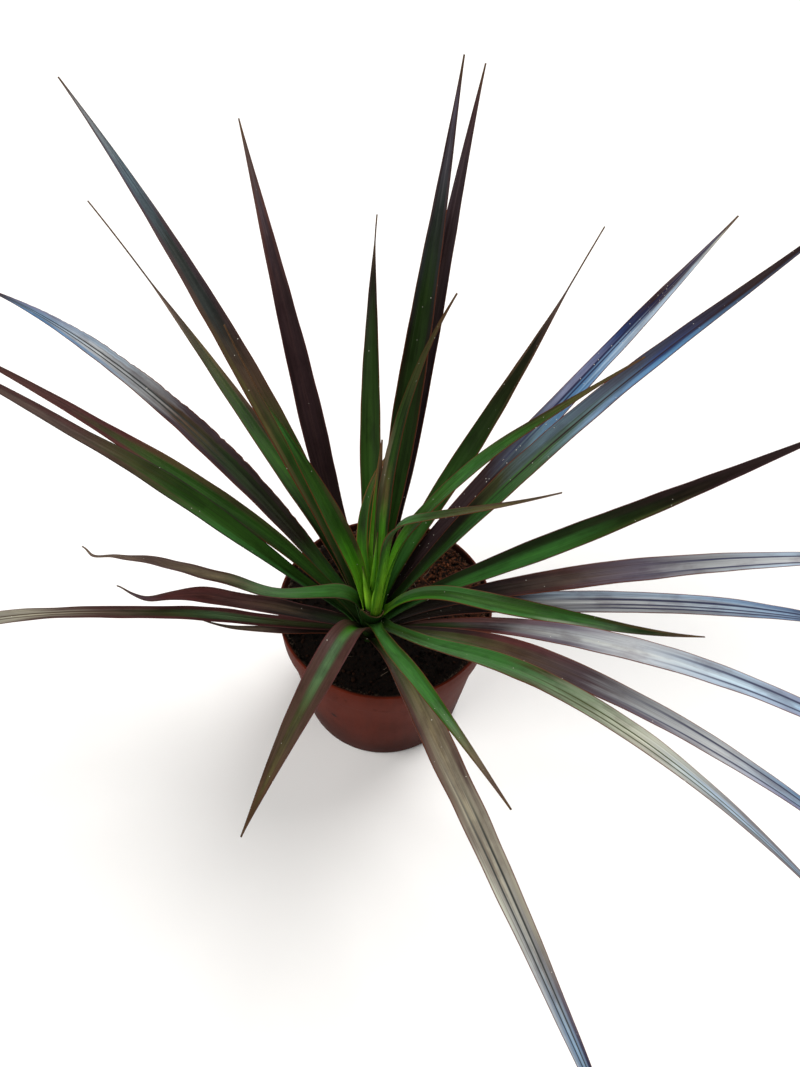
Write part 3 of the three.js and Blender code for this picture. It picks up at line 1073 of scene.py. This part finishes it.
    def build(self, stem: Stem, number: int) -> bpy.types.Object:
        """Makes the leaf.

        Args:
            stem: what it grows on.
            number: the leaf's number, from the lowest.

        Returns:
            The piece.
        """
        steps = max(70, round(self.length * 0.5))
        rows = steps + self.foot_rows
        line = self.middle_line(stem, steps)
        shape = bmesh.new()
        sheet = shape.loops.layers.uv.new("Blade")
        thick = shape.verts.layers.deform.verify()
        corners = bmesh.ops.create_grid(shape, x_segments=self.across, y_segments=rows, size=1)["verts"]
        places = {}
        near_root = []
        for corner in corners:
            t, row = corner.co.x, round((corner.co.y + 1) / 2 * rows)
            share = max(0.0, (row - self.foot_rows) / steps)
            places[corner] = ((t + 1) / 2, share)
            if row <= self.foot_rows:
                point = self.foot_point(stem, row / self.foot_rows, t)
            else:
                point = self.blade_point(stem, line[row - self.foot_rows], share, t, number)
            if abs(row - self.foot_rows) <= 3:
                near_root.append(corner)
            corner[thick][0] = lerp(1.0, 0.4, abs(t) ** 1.2) * lerp(1.0, 0.45, smooth((share - 0.3) / 0.7))
            corner.co = point * MM
        for face in shape.faces:
            for loop in face.loops:
                loop[sheet].uv = places[loop.vert]
        for _ in range(3):
            bmesh.ops.smooth_vert(shape, verts=near_root, factor=0.5, use_axis_x=True, use_axis_y=True,
                                  use_axis_z=True)
        bmesh.ops.recalc_face_normals(shape, faces=shape.faces)
        name = f"leaf_{number:02d}"
        material = self.finish.material(f"blade_{number:02d}", self.length, number * 3.7)
        leaf = finished(f"blade_{number:02d}", shape, material, [name], 80)
        leaf.vertex_groups.new(name="rib")
        wall = leaf.modifiers.new("thickness", "SOLIDIFY")
        wall.thickness = self.rib * MM
        wall.offset = 0
        wall.vertex_group = "rib"
        wall.use_rim = True
        return leaf

    def blade_point(self, stem: Stem, middle: Vector, share: float, t: float, number: int) -> Vector:
        """Returns a point of the blade, which opens out of the clasping foot near the root.

        Args:
            stem: what the leaf grows on.
            middle: the middle line's point.
            share: the share of the length.
            t: the place across, from -1 to 1.
            number: the leaf's number.
        """
        heading = math.radians(self.heading(share))
        side = Vector((-math.sin(heading), math.cos(heading), 0))
        face = self.direction(share).cross(side)
        left, above = self.section(share, t, number * 5.3)
        middle = middle + side * self.sway(share)
        flat = side * left + face * above
        open_by = smooth(share * self.length / 13)
        if open_by >= 1:
            return middle + flat
        radius = stem.radius(stem.soil_top + self.at) + self.rib_step + self.rib / 2
        angle = math.radians(self.wrap(1)) * t
        inward = turned_to(self.heading(share)) * -1
        up = inward.lerp(face, smooth(share * self.length / 9))
        curled = side * radius * math.sin(angle) + up * radius * (1 - math.cos(angle))
        return middle + curled.lerp(flat, open_by)


@dataclass
class Heart:
    """The rolled young leaves on their bud at the top of the stem."""

    stem: Stem
    spears: tuple[tuple[float, float, float], ...] = ((60, 86, 58), (200, 84, 38), (320, 83, 32))
    radius: float = 2.4
    out: float = 0.9
    bud_radius: float = 3.2
    bud_height: float = 5
    sheath_reach: tuple[float, float] = (196, 352)
    sheath_depth: float = 17
    sheath_radius: float = 5.6
    sheath_wall: float = 0.5
    finish: BladeFinish = BladeFinish(
        centre=tones("green 0, lime 10, bud 30, lime 70, moss 100"),
        side=tones("green 0, lime 12, grass 70, brown 100"),
        edge=Tone.GRASS, margin=0.8, streak=0.5, roughness=0.38, gloss=0.06, exposure=0.95)
    sheath_finish: BladeFinish = BladeFinish(
        centre=tones("forest 0, deep 40, leaf 100"), side=tones("forest 0, green 100"),
        edge=Tone.OLIVE, margin=0.6, streak=0.4, specks=0, gloss=0.06)

    def build(self) -> bpy.types.Object:
        """Makes the bud and its rolled leaves as one piece and returns it."""
        top = self.stem.axis(self.stem.soil_top + self.stem.height + 0.3)
        shape = spun([(0, 0), (self.bud_radius * 0.9, 0), (self.bud_radius, self.bud_height / 4),
                      (self.bud_radius * 0.95, self.bud_height * 0.45),
                      (self.bud_radius * 0.8, self.bud_height * 0.6),
                      (self.bud_radius * 0.5, self.bud_height * 0.85), (self.bud_radius / 4, self.bud_height),
                      (0, self.bud_height)], 40)
        bmesh.ops.translate(shape, verts=shape.verts, vec=top * MM)
        sheet = shape.loops.layers.uv.new("Blade")
        for face in shape.faces:
            for loop in face.loops:
                loop[sheet].uv = (0.5, clamp((loop.vert.co.z / MM - top.z) / 60))
        for azimuth, rise, length in self.spears:
            self.add_spear(shape, sheet, top, azimuth, rise, length)
        self.build_sheath(top)
        return finished("heart_leaves", shape, self.finish.material("heart_leaf", 60, 3.1),
                        ["heart"], 80)

    def build_sheath(self, top: Vector) -> bpy.types.Object:
        """Makes the cupped foot of an old leaf that still clasps the front of the stem's top.

        Args:
            top: the top of the stem.

        Returns:
            The piece.
        """
        across, rows = 26, 18
        shape = bmesh.new()
        sheet = shape.loops.layers.uv.new("Blade")
        corners = bmesh.ops.create_grid(shape, x_segments=across, y_segments=rows, size=1)["verts"]
        places = {}
        for corner in corners:
            t, share = corner.co.x, (corner.co.y + 1) / 2
            places[corner] = ((t + 1) / 2, share)
            rim = self.sheath_depth * (1.25 - 0.5 * smooth((t + 0.9) / 1.6) - 0.6 * smooth((-t - 0.7) * 3))
            z = top.z - self.sheath_depth + 3 + rim * share
            spot = self.stem.axis(z)
            uneven = 0.12 * noise.noise(Vector((t * 2, share * 3, 1)))
            radius = self.sheath_radius + 0.8 * share - 0.9 * (1 - share) ** 2 + uneven
            corner.co = (spot + turned_to(lerp(*self.sheath_reach, (t + 1) / 2)) * radius) * MM
        for face in shape.faces:
            for loop in face.loops:
                loop[sheet].uv = places[loop.vert]
        bmesh.ops.recalc_face_normals(shape, faces=shape.faces)
        sheath = finished("heart_sheath", shape, self.sheath_finish.material("sheath", 20, 5.5),
                          (), 80)
        wall = sheath.modifiers.new("thickness", "SOLIDIFY")
        wall.thickness = self.sheath_wall * MM
        wall.offset = 0
        return sheath

    def add_spear(self, shape: bmesh.types.BMesh, sheet: bmesh.types.BMLayerItem, top: Vector,
                  azimuth: float, rise: float, length: float) -> None:
        """Adds one rolled leaf, whose one margin laps over the other.

        Args:
            shape: what it is added to.
            sheet: the layer that holds the places across and along the blade.
            top: the top of the stem.
            azimuth: the way it leans.
            rise: how steeply it stands.
            length: its length.
        """
        steps, turns = 44, 26
        out = turned_to(azimuth)
        up = math.radians(rise)
        along = out * math.cos(up) + Vector((0, 0, math.sin(up)))
        side = Vector((-out.y, out.x, 0))
        face = along.cross(side)
        foot = top + out * self.out + Vector((0, 0, self.bud_height / 5))
        corners = bmesh.ops.create_grid(shape, x_segments=turns, y_segments=steps, size=1)["verts"]
        places = {}
        for corner in corners:
            t, share = corner.co.x, (corner.co.y + 1) / 2
            places[corner] = ((t + 1) / 2, share)
            angle = (t * 1.12 + share * 0.15) * math.pi
            radius = max(self.radius * (1 - share**1.6), 0.3) * (1 + 0.09 * t)
            ring = (side * math.sin(angle) - face * math.cos(angle)) * radius
            corner.co = (foot + along * length * share + ring) * MM
        for face_of in {face_of for corner in corners for face_of in corner.link_faces}:
            for loop in face_of.loops:
                loop[sheet].uv = places[loop.vert]


T = Tone
YOUNG = Slot.YOUNG_LEAF

# The tones of the older blades carry painted light: their silver and blue stretches are a painted reflection of the
# sky, and the night tone at their roots is painted shade.
FOLIAGE = (
    Blade(5, 185, 4, -10, 85, 5, 4, Bends(sweep=-1, flick=22), BladeFinish(
        centre=tones("night 0, blackred 35, maroon 50, tan 62"),
        side=tones("night 0, blackred 35, taupe 55, tan 80"), streak=0.6), waver=0.15),
    Blade(6, 287, 46, 47, 310, 14, 6.5, Bends(neck=21, at=0.22, sweep=8, flick=8), BladeFinish(
        centre=tones("deep 0, olive 20, khaki 35, stone 56, silver 70, dusk 80, slate 90, lilac 100"),
        side=tones("night 0, umber 20, maroon 33, tan 47, mist 62, pale 73, ice 82, dusk 92, lilac 100"),
        left=tones("night 0, khaki 30, taupe 44, stone 56, stone 66, mauve 75, navy 83, lilac 100"),
        grooves=(0.36, 0.64), groove_from=0.48, groove=T.SHADOW, streak=0.6, margin=0.6, gloss=0.15),
        waver=0.08),
    Blade(7, 180, 4, 42, 275, 12, 5.5, Bends(neck=-19, at=0.14, sweep=16), BladeFinish(
        centre=tones("forest 0, olive 15, greygreen 28, olive 38, taupe 50, stone 62, steel 100"),
        side=tones("night 0, garnet 20, maroon 50, taupe 58, stone 66, mauve 100"),
        edge=T.GARNET, margin=0.55, grooves=(0.4, 0.6), groove_from=0.45, groove=T.UMBER, streak=0.8,
        ridge_highlight=0.2), waver=0.1,
        breadths=((0, 1), (0.25, 0.9), (0.4, 0.68), (0.56, 0.7), (0.72, 1.2), (1, 1.2)),
        sways=((0.45, 0.15, 1.8),)),
    Blade(8.5, 347, 30, 46, 330, 14, 5, Bends(neck=8, at=0.17, sweep=-19, flick=-2), BladeFinish(
        centre=tones("night 0, forest 12, plum 20, silver 31, pale 42, ice 56, dusk 70, lilac 82, ink 100"),
        side=tones("night 0, garnet 20, mauve 31, pale 42, ice 57, lilac 70, ink 85"),
        grooves=(0.32, 0.74), groove_from=0.48, groove=T.NAVY, groove_width=0.08, streak=0.4, gloss=0.15,
        exposure=1.0), breadths=((0, 1), (0.5, 1.05), (1, 1.2))),
    Blade(9.5, 175, 15, 24, 130, 11, 6.5, Bends(neck=-9, at=0.22, sweep=15, flick=31), BladeFinish(
        centre=tones("deep 0, forest 10, night 20, umber 34, maroon 50, garnet 80, mauve 100"),
        side=tones("night 0, blackred 32, maroon 45, garnet 70, taupe 100"), edge=T.GARNET, streak=0.6),
        waver=0.13, ripple=0.7,
        breadths=((0, 1), (0.45, 1), (0.66, 1.4), (0.82, 1.1), (1, 1)),
        sways=((0.68, 0.1, -1.9), (0.88, 0.06, 2.4), (1, 0.04, -2.5))),
    Blade(11.5, 1, 27, 32, 295, 14, 6.5, Bends(neck=18, at=0.13, sweep=1, flick=3), BladeFinish(
        centre=tones("night 0, blackred 22, silver 30, pale 48, ice 62, dusk 76, ink 90"),
        side=tones("night 0, wine 24, silver 31, pale 42, silver 56, dusk 70, ink 100"),
        left=tones("night 0, plum 24, ice 32, ice 50, dusk 66, ink 85"),
        grooves=(0.25, 0.45, 0.68), groove_width=0.07, groove_from=0.36, streak=0.7, ridge_highlight=0.1, gloss=0.15,
        exposure=1.0),
        breadths=((0, 1), (0.45, 1.05), (0.7, 1.25), (1, 1.2))),
    Blade(11.5, 137, 33, 37, 315, 15, 6, Bends(neck=5, at=0.16, sweep=10), BladeFinish(
        centre=tones("leaf 0, green 10, night 18, forest 36, umber 48, silver 58, pale 70, dusk 82, plum 95"),
        side=tones("leaf 0, night 18, wine 36, plum 48, silver 58, ice 70, lilac 85, plum 95"),
        left=tones("leaf 0, night 18, wine 36, plum 48, silver 58, dusk 70, sky 82, plum 95"),
        grooves=(0.42, 0.6), groove_from=0.4, groove=T.SHADOW, streak=0.6, ridge_highlight=0.1, gloss=0.06), nibble=0.16,
        ripple=0.5,
        breadths=((0, 1), (0.5, 1.1), (0.78, 1.3), (1, 1.1))),
    Blade(13, 5, 34, 24, 315, 14.5, 6, Bends(neck=19, at=0.1, sweep=-2, flick=-2), BladeFinish(
        centre=tones("night 0, blackred 20, taupe 33, mauve 45, silver 56, pale 70, ice 100"),
        side=tones("night 0, wine 20, maroon 33, mauve 46, silver 58, ice 70, dusk 100"),
        grooves=(0.28, 0.74), groove_from=0.48, groove=T.NAVY, groove_width=0.07, streak=0.5, ridge_highlight=0.1,
        gloss=0.15, exposure=0.95), breadths=((0, 1), (0.5, 1.05), (1, 1.15))),
    Blade(13.5, 166, 40, 36, 300, 14, 4, Bends(neck=-7, at=0.19, sweep=-1), BladeFinish(
        centre=tones("forest 0, green 20, green 40, olive 50, taupe 60, taupe 80, brown 100"),
        side=tones("forest 0, green 20, deep 40, olive 50, maroon 60, maroon 100"),
        left=tones("green 0, leaf 10, leaf 32, olive 44, umber 52, taupe 65, maroon 100"),
        edge=T.WINE, margin=0.3, ridge_highlight=0.1, gloss=0.06), breadths=((0, 1), (0.4, 1), (0.58, 0.72), (1, 0.62)),
        sways=((0.6, 0.1, 1.4),)),
    Blade(14.5, 250, 62, 69, 155, 16, 9, Bends(neck=46, at=0.28, sweep=-11, flick=9), BladeFinish(
        centre=tones("forest 0, night 15, grass 22, greygreen 34, greygreen 46, olive 58, moss 70, moss 84, brown 93"),
        side=tones("night 0, umber 18, maroon 30, umber 70, brown 82"), edge=T.GARNET, margin=0.34,
        ridge_highlight=0.25)),
    Blade(14.5, 325, 40, 51, 290, 13, 4.5, Bends(neck=9, at=0.31, sweep=-2), BladeFinish(
        centre=tones("night 0, olive 20, umber 32, plum 46, silver 57, pale 68, dusk 82, sky 100"),
        side=tones("night 0, green 20, umber 32, plum 47, mauve 58, pale 68, lilac 80, slate 100"),
        left=tones("night 0, wine 20, garnet 34, plum 46, silver 58, pale 70, sky 84"),
        grooves=(0.3, 0.74), groove_from=0.55, groove=T.NAVY, groove_width=0.07, streak=0.5, ridge_highlight=0.1,
        gloss=0.15, exposure=0.9), breadths=((0, 1), (0.5, 1.05), (1, 1.2))),
    Blade(14.5, 114, 36, 42, 280, 14, 6.5, Bends(neck=-24, at=0.25, sweep=-8), BladeFinish(
        centre=tones("blackred 0, wine 40, wine 65, plum 80, taupe 95"),
        side=tones("blackred 0, wine 60, maroon 80, taupe 100"), edge=T.GARNET, streak=0.5, gloss=0.04,
        exposure=1.0)),
    Blade(16, 156, 42, 22, 285, 13, 4.5, Bends(neck=16, at=0.21, sweep=-3), BladeFinish(
        centre=tones("forest 0, green 20, green 45, olive 56, maroon 66, maroon 100"),
        side=tones("forest 0, deep 20, olive 32, moss 45, garnet 55, maroon 75, wine 100"), margin=0.5,
        ridge_highlight=0.1, gloss=0.05), breadths=((0, 1), (0.45, 1), (0.62, 0.78), (1, 0.7))),
    Blade(17, 8, 45, 11, 265, 15, 6, Bends(neck=21, at=0.1, sweep=13), BladeFinish(
        centre=tones("green 0, leaf 10, leaf 38, forest 52, night 62, blackred 75, wine 100"),
        side=tones("leaf 0, leaf 36, deep 48, olive 58, wine 70, wine 100"),
        left=tones("deep 0, forest 22, forest 45, blackred 60, wine 100"), edge=T.GARNET, margin=0.45,
        lean=-0.04, ridge_highlight=0.1, gloss=0.05)),
    Blade(17.5, 75, 48, 22, 290, 13, 5.5, Bends(neck=-8, at=0.26, sweep=2, flick=-5), BladeFinish(
        centre=tones("blackred 0, blackred 50, wine 68, plum 82, maroon 100"),
        side=tones("blackred 0, wine 55, plum 80, maroon 100"), streak=0.6, gloss=0.05)),
    Blade(19, 136, 63, 35, 285, 12, 5.5, Bends(neck=25, at=0.16, sweep=-10, wire=0.24), BladeFinish(
        centre=tones("deep 0, leaf 8, forest 18, green 33, deep 45, olive 57, taupe 68, umber 80"),
        side=tones("deep 0, forest 32, umber 46, moss 58, umber 70"),
        left=tones("leaf 0, forest 20, green 40, olive 56, tan 70, umber 80"), dry=0.8)),
    Blade(19.5, 34, 63, 19, 285, 13.5, 5, Bends(neck=26, at=0.12, sweep=12), BladeFinish(
        centre=tones("wine 0, wine 34, steel 46, sky 57, dusk 68, plum 78, silver 93"),
        side=tones("wine 0, wine 34, steel 44, sky 55, ice 70, ice 85, mist 95"),
        left=tones("wine 0, wine 34, slate 44, lilac 56, ink 68, wine 78, mauve 93"),
        margin=0.3, grooves=(0.5, 0.66), groove_width=0.07, groove_from=0.42, streak=0.7, ridge_highlight=0.1,
        lean=-0.04, gloss=0.06, specks=2.0, exposure=1.0), breadths=((0, 1), (0.55, 1), (0.8, 1.3), (1, 1.2))),
    Blade(22, 76, 56, 15, 280, 14.5, 4.5, Bends(sweep=4), BladeFinish(
        centre=tones("green 0, forest 30, forest 60, shadow 75, mauve 92, maroon 100"),
        side=tones("green 0, forest 32, night 50, shadow 66, plum 82, maroon 100"), margin=0.6, gloss=0.04)),
    Blade(22.5, 314, 34, 51, 280, 11, 6, Bends(neck=-17, at=0.17, sweep=-9), BladeFinish(
        centre=tones("deep 0, deep 10, leaf 20, leaf 38, greygreen 47, sage 56, mist 67, ice 80, dusk 100"),
        side=tones("forest 0, leaf 20, leaf 36, olive 46, sage 56, mist 68, silver 82, mauve 100"),
        grooves=(0.3, 0.56), groove_from=0.46, groove=T.OLIVE, streak=0.5, ridge_highlight=0.1, specks=0.3, gloss=0.15,
        exposure=0.95), breadths=((0, 1), (0.5, 1.05), (0.7, 1.25), (1, 1.2))),
    Blade(23, 133, 61, 31, 310, 14, 6, Bends(neck=9, at=0.14, sweep=-3), BladeFinish(
        centre=tones("forest 0, deep 32, umber 44, shadow 56, shadow 68, steel 80, silver 93, brown 100"),
        side=tones("forest 0, deep 32, umber 43, plum 58, plum 72, steel 82, brown 100"),
        left=tones("forest 0, olive 20, moss 45, umber 56, plum 70, slate 84, brown 100"), streak=0.6,
        ridge_highlight=0.1, dry=0.96)),
    Blade(23.5, 16, 58, 31, 300, 15, 4.5, Bends(sweep=5, flick=10), BladeFinish(
        centre=tones("forest 0, deep 10, green 20, leaf 33, greygreen 44, steel 56, ink 66, wine 80"),
        side=tones("deep 0, leaf 20, leaf 32, greygreen 43, dusk 55, sky 67, slate 85, navy 100"),
        left=tones("forest 0, night 25, olive 35, steel 46, slate 58, navy 70, wine 80"),
        margin=0.35, lean=-0.02, grooves=(0.5,), groove_from=0.3, groove=T.WINE, streak=0.6, specks=0.4,
        ridge_highlight=0.1, gloss=0.15, exposure=0.95)),
    Blade(25, 285, 40, 47, 165, 9, 5.5, Bends(neck=-9, at=0.23, sweep=16), BladeFinish(
        centre=tones("deep 0, leaf 7, leaf 60, greygreen 72, khaki 84, taupe 93"),
        side=tones("deep 0, green 10, leaf 50, green 70, moss 82, brown 93"),
        left=tones("green 0, deep 15, green 50, green 70, khaki 85, brown 93"), margin=0.6, gloss=0.08,
        exposure=0.9), YOUNG),
    Blade(25.5, 178, 81, 36, 195, 9, 5, Bends(neck=80, at=0.1, span=0.12, sweep=-32, flick=12), BladeFinish(
        centre=tones("deep 0, green 10, leaf 18, greygreen 32, khaki 45, taupe 70, tan 100"),
        side=tones("deep 0, leaf 20, greygreen 33, umber 44, taupe 60, taupe 100"),
        edge=T.GARNET, margin=0.65, gloss=0.06, exposure=0.9), waver=0.13, ripple=0.9, spread_root=1.3,
        breadths=((0, 1), (0.13, 1.35), (0.3, 0.75), (0.6, 1), (1, 1)),
        sways=((0.3, 0.13, 6.5), (0.5, 0.06, 1), (0.7, 0.08, -1.5), (0.92, 0.05, 4))),
    Blade(26.5, 350, 60, 17, 200, 12, 5, Bends(neck=71, at=0.17, sweep=22, flick=8), BladeFinish(
        centre=tones("bud 0, leaf 8, green 20, green 45, leaf 57, greygreen 70, deep 80, umber 93"),
        side=tones("lime 0, grass 10, leaf 30, leaf 45, sage 56, greygreen 68, olive 82, brown 93"),
        left=tones("bud 0, greygreen 12, leaf 25, deep 40, green 60, moss 75, brown 100"),
        margin=0.45, dry=0.92, gloss=0.08, exposure=0.95), YOUNG, spread_root=1.2),
    Blade(26.5, 93, 57, 50, 255, 11.5, 5.5, Bends(neck=18, at=0.16, sweep=-4, wire=0.12), BladeFinish(
        centre=tones("leaf 0, green 20, deep 35, forest 60, night 75, umber 88"),
        side=tones("green 0, deep 30, forest 50, night 68, wine 80, maroon 100"), margin=0.62, ridge_highlight=0.1,
        gloss=0.04)),
    Blade(28, 48, 56, 41, 275, 12, 4, Bends(neck=20, at=0.14, sweep=20, flick=-5, wire=0.24), BladeFinish(
        centre=tones("green 0, leaf 10, green 22, forest 38, night 60, taupe 70"),
        side=tones("green 0, deep 25, forest 40, umber 58, umber 70"), margin=0.68, dry=0.78, ridge_highlight=0.1,
        gloss=0.05)),
    Blade(30, 5, 84, 34, 215, 9, 4, Bends(neck=13, at=0.28, sweep=-11, flick=10), BladeFinish(
        centre=tones("bud 0, lime 16, grass 26, deep 36, green 46, leaf 56, green 72, moss 88"),
        side=tones("lime 0, grass 24, deep 36, green 48, leaf 56, olive 70, umber 88"),
        edge_from=0.3, margin=0.7, gloss=0.05, exposure=1.0), YOUNG, spread_root=1.9,
        breadths=((0, 1), (0.4, 1.1), (0.6, 1.35), (1, 1.2))),
    Blade(30.5, 87, 68, 33, 90, 7, 4, Bends(sweep=-1), BladeFinish(
        centre=tones("bud 0, lime 20, olive 34, forest 50, night 80, brown 95"),
        side=tones("lime 0, olive 30, forest 50, night 80, brown 95"),
        left=tones("bud 0, lime 30, grass 60, moss 80, brown 100"),
        edge=T.ORANGE, edge_from=0.35, margin=0.35, exposure=0.95), YOUNG, spread_root=1.8),
    Blade(32.5, 118, 72, 37, 90, 6, 4.5, Bends(neck=22, at=0.28, sweep=-66), BladeFinish(
        centre=tones("bud 0, lime 20, grass 35, deep 50, green 70, moss 84, khaki 100"),
        side=tones("lime 0, grass 30, green 60, moss 80, brown 100"), edge=T.ORANGE, edge_from=0.35,
        margin=0.6, exposure=0.95), YOUNG, spread_root=1.6),
    Blade(34.5, 61, 82, 45, 185, 8.5, 4, Bends(neck=-15, at=0.19, sweep=-17, flick=-5), BladeFinish(
        centre=tones("bud 0, lime 15, grass 32, moss 45, deep 56, forest 70, olive 83, brown 100"),
        side=tones("lime 0, grass 20, forest 33, forest 68, olive 82, umber 100"),
        left=tones("lime 0, deep 30, olive 44, khaki 57, deep 68, olive 82, brown 100"),
        edge_from=0.3, margin=0.5, dry=0.9, gloss=0.05, exposure=0.9), YOUNG, spread_root=1.6),
    Blade(35, 145, 79, 14, 170, 12.5, 6.5, Bends(neck=13, at=0.18, sweep=4, flick=14, wire=0.24), BladeFinish(
        centre=tones("bud 0, lime 10, grass 20, green 34, deep 57, leaf 68, olive 74, umber 80"),
        side=tones("bud 0, lime 12, olive 24, olive 40, deep 55, green 68, umber 80"),
        left=tones("bud 0, lime 12, grass 22, green 34, deep 56, leaf 68, moss 80"),
        edge=T.RUST, edge_from=0.14, margin=0.6, dry=0.8, gloss=0.05, exposure=1.0), YOUNG, spread_root=1.25),
    Blade(35, 323, 85, 1, 190, 8, 4, Bends(neck=39, at=0.42, sweep=-1, flick=4), BladeFinish(
        centre=tones("bud 0, lime 22, grass 32, olive 38, leaf 46, deep 56, olive 70, moss 84, umber 100"),
        side=tones("lime 0, grass 20, green 33, greygreen 45, green 58, olive 70, umber 84, umber 100"),
        edge_from=0.3, margin=0.7, gloss=0.05, exposure=0.95), YOUNG, spread_root=2.3, broadest=0.3,
        breadths=((0, 1), (0.5, 1.1), (0.7, 1.3), (1, 1.2))),
)


@dataclass(frozen=True)
class Lamp:
    """A broad soft light that shines on the plant and the whole floor alike.

    Attributes:
        name: its name.
        place: where it shines from.
        spread: how wide it looks from the plant, in degrees.
        power: its power in watts to the square metre.
        colour: its colour.
    """

    name: str
    place: tuple[float, float, float]
    spread: float
    power: float
    colour: tuple[float, float, float]

    def build(self) -> None:
        """Adds the light."""
        lamp = bpy.data.lights.new(self.name, "SUN")
        lamp.angle, lamp.energy, lamp.color = math.radians(self.spread), self.power, self.colour
        light = bpy.data.objects.new(self.name, lamp)
        light.location = self.place
        light.rotation_euler = Vector(self.place).to_track_quat("Z", "Y").to_euler()
        bpy.context.scene.collection.objects.link(light)


@dataclass
class Studio:
    """The plain pale floor, the soft lights and the camera, at the photograph's angle."""

    eye: tuple[float, float, float] = (0, -312.1, 560.6)
    down: float = 52.285
    turn: float = 1.214
    roll: float = 2.379
    lens: float = 33.74
    sensor: float = 36.0
    clip: tuple[float, float] = (0.01, 50.0)
    floor_reach: float = 4.0
    floor_tone: float = 0.9
    sky: float = 0.95
    fill: float = 0.2
    air: tuple[float, float, float, float] = (0.97, 0.985, 1.0, 1.0)
    lamps: tuple[Lamp, ...] = (Lamp("key", (1.1, 1.3, 1.9), 38, 3.0, (1.0, 0.98, 0.95)),
                               Lamp("side", (-1.3, -0.7, 1.9), 42, 2.1, (1.0, 0.97, 0.93)))

    def build_floor(self) -> None:
        """Makes the floor."""
        shape = bmesh.new()
        bmesh.ops.create_circle(shape, cap_ends=True, segments=96, radius=self.floor_reach,
                                matrix=Matrix.Translation((0, 0, -0.2 * MM)))
        mesh = bpy.data.meshes.new("studio_floor")
        shape.to_mesh(mesh)
        shape.free()
        board = Board("pale_floor")
        clouds = board.noise(board.place(), 3, 3)
        tone = board.span(clouds, 0.3, 0.7, self.floor_tone - 0.01, self.floor_tone)
        mesh.materials.append(board.surface(Base_Color=board.vector(tone, tone, tone), Roughness=0.9,
                                            Specular_IOR_Level=0.1))
        floor = bpy.data.objects.new("studio_floor", mesh)
        bpy.context.scene.collection.objects.link(floor)

    def build_camera(self) -> None:
        """Adds the camera."""
        data = bpy.data.cameras.new("camera")
        data.sensor_width, data.lens = self.sensor, self.lens
        data.clip_start, data.clip_end = self.clip
        pitch, yaw, roll = (math.radians(a) for a in (self.down, self.turn, self.roll))
        ahead = Vector((math.sin(yaw) * math.cos(pitch), math.cos(yaw) * math.cos(pitch), -math.sin(pitch)))
        right = Vector((math.cos(yaw), -math.sin(yaw), 0))
        up = right.cross(ahead)
        right, up = (right * math.cos(roll) + up * math.sin(roll)), (up * math.cos(roll) - right
                                                                     * math.sin(roll))
        camera = bpy.data.objects.new("camera", data)
        turned = Matrix((right, up, -ahead)).transposed().to_4x4()
        camera.matrix_world = Matrix.Translation(Vector(self.eye) * MM) @ turned
        bpy.context.scene.collection.objects.link(camera)
        bpy.context.scene.camera = camera

    def build(self) -> None:
        """Makes the studio."""
        self.build_camera()
        self.build_floor()
        world = bpy.data.worlds.new("studio")
        world.use_nodes = True
        tree = world.node_tree
        tree.nodes["Background"].inputs["Color"].default_value = self.air
        seen = tree.nodes.new("ShaderNodeLightPath").outputs["Is Camera Ray"]
        strength = tree.nodes.new("ShaderNodeMapRange")
        strength.inputs["To Min"].default_value, strength.inputs["To Max"].default_value = self.fill, self.sky
        tree.links.new(seen, strength.inputs["Value"])
        tree.links.new(strength.outputs["Result"], tree.nodes["Background"].inputs["Strength"])
        bpy.context.scene.world = world
        for lamp in self.lamps:
            lamp.build()
        bpy.context.scene.view_settings.view_transform = "Standard"


def main() -> None:
    """Builds the plant in its pot, piece by piece, and the studio round it."""
    logging.basicConfig(level=logging.INFO, format="%(name)s: %(message)s")
    Studio().build()
    pot, stem = Pot(), Stem()
    pot.build()
    Soil(pot, stem).build()
    stem.build()
    Heart(stem).build()
    for number, blade in enumerate(FOLIAGE, start=1):
        blade.build(stem, number)


if __name__ == "__main__":
    main()
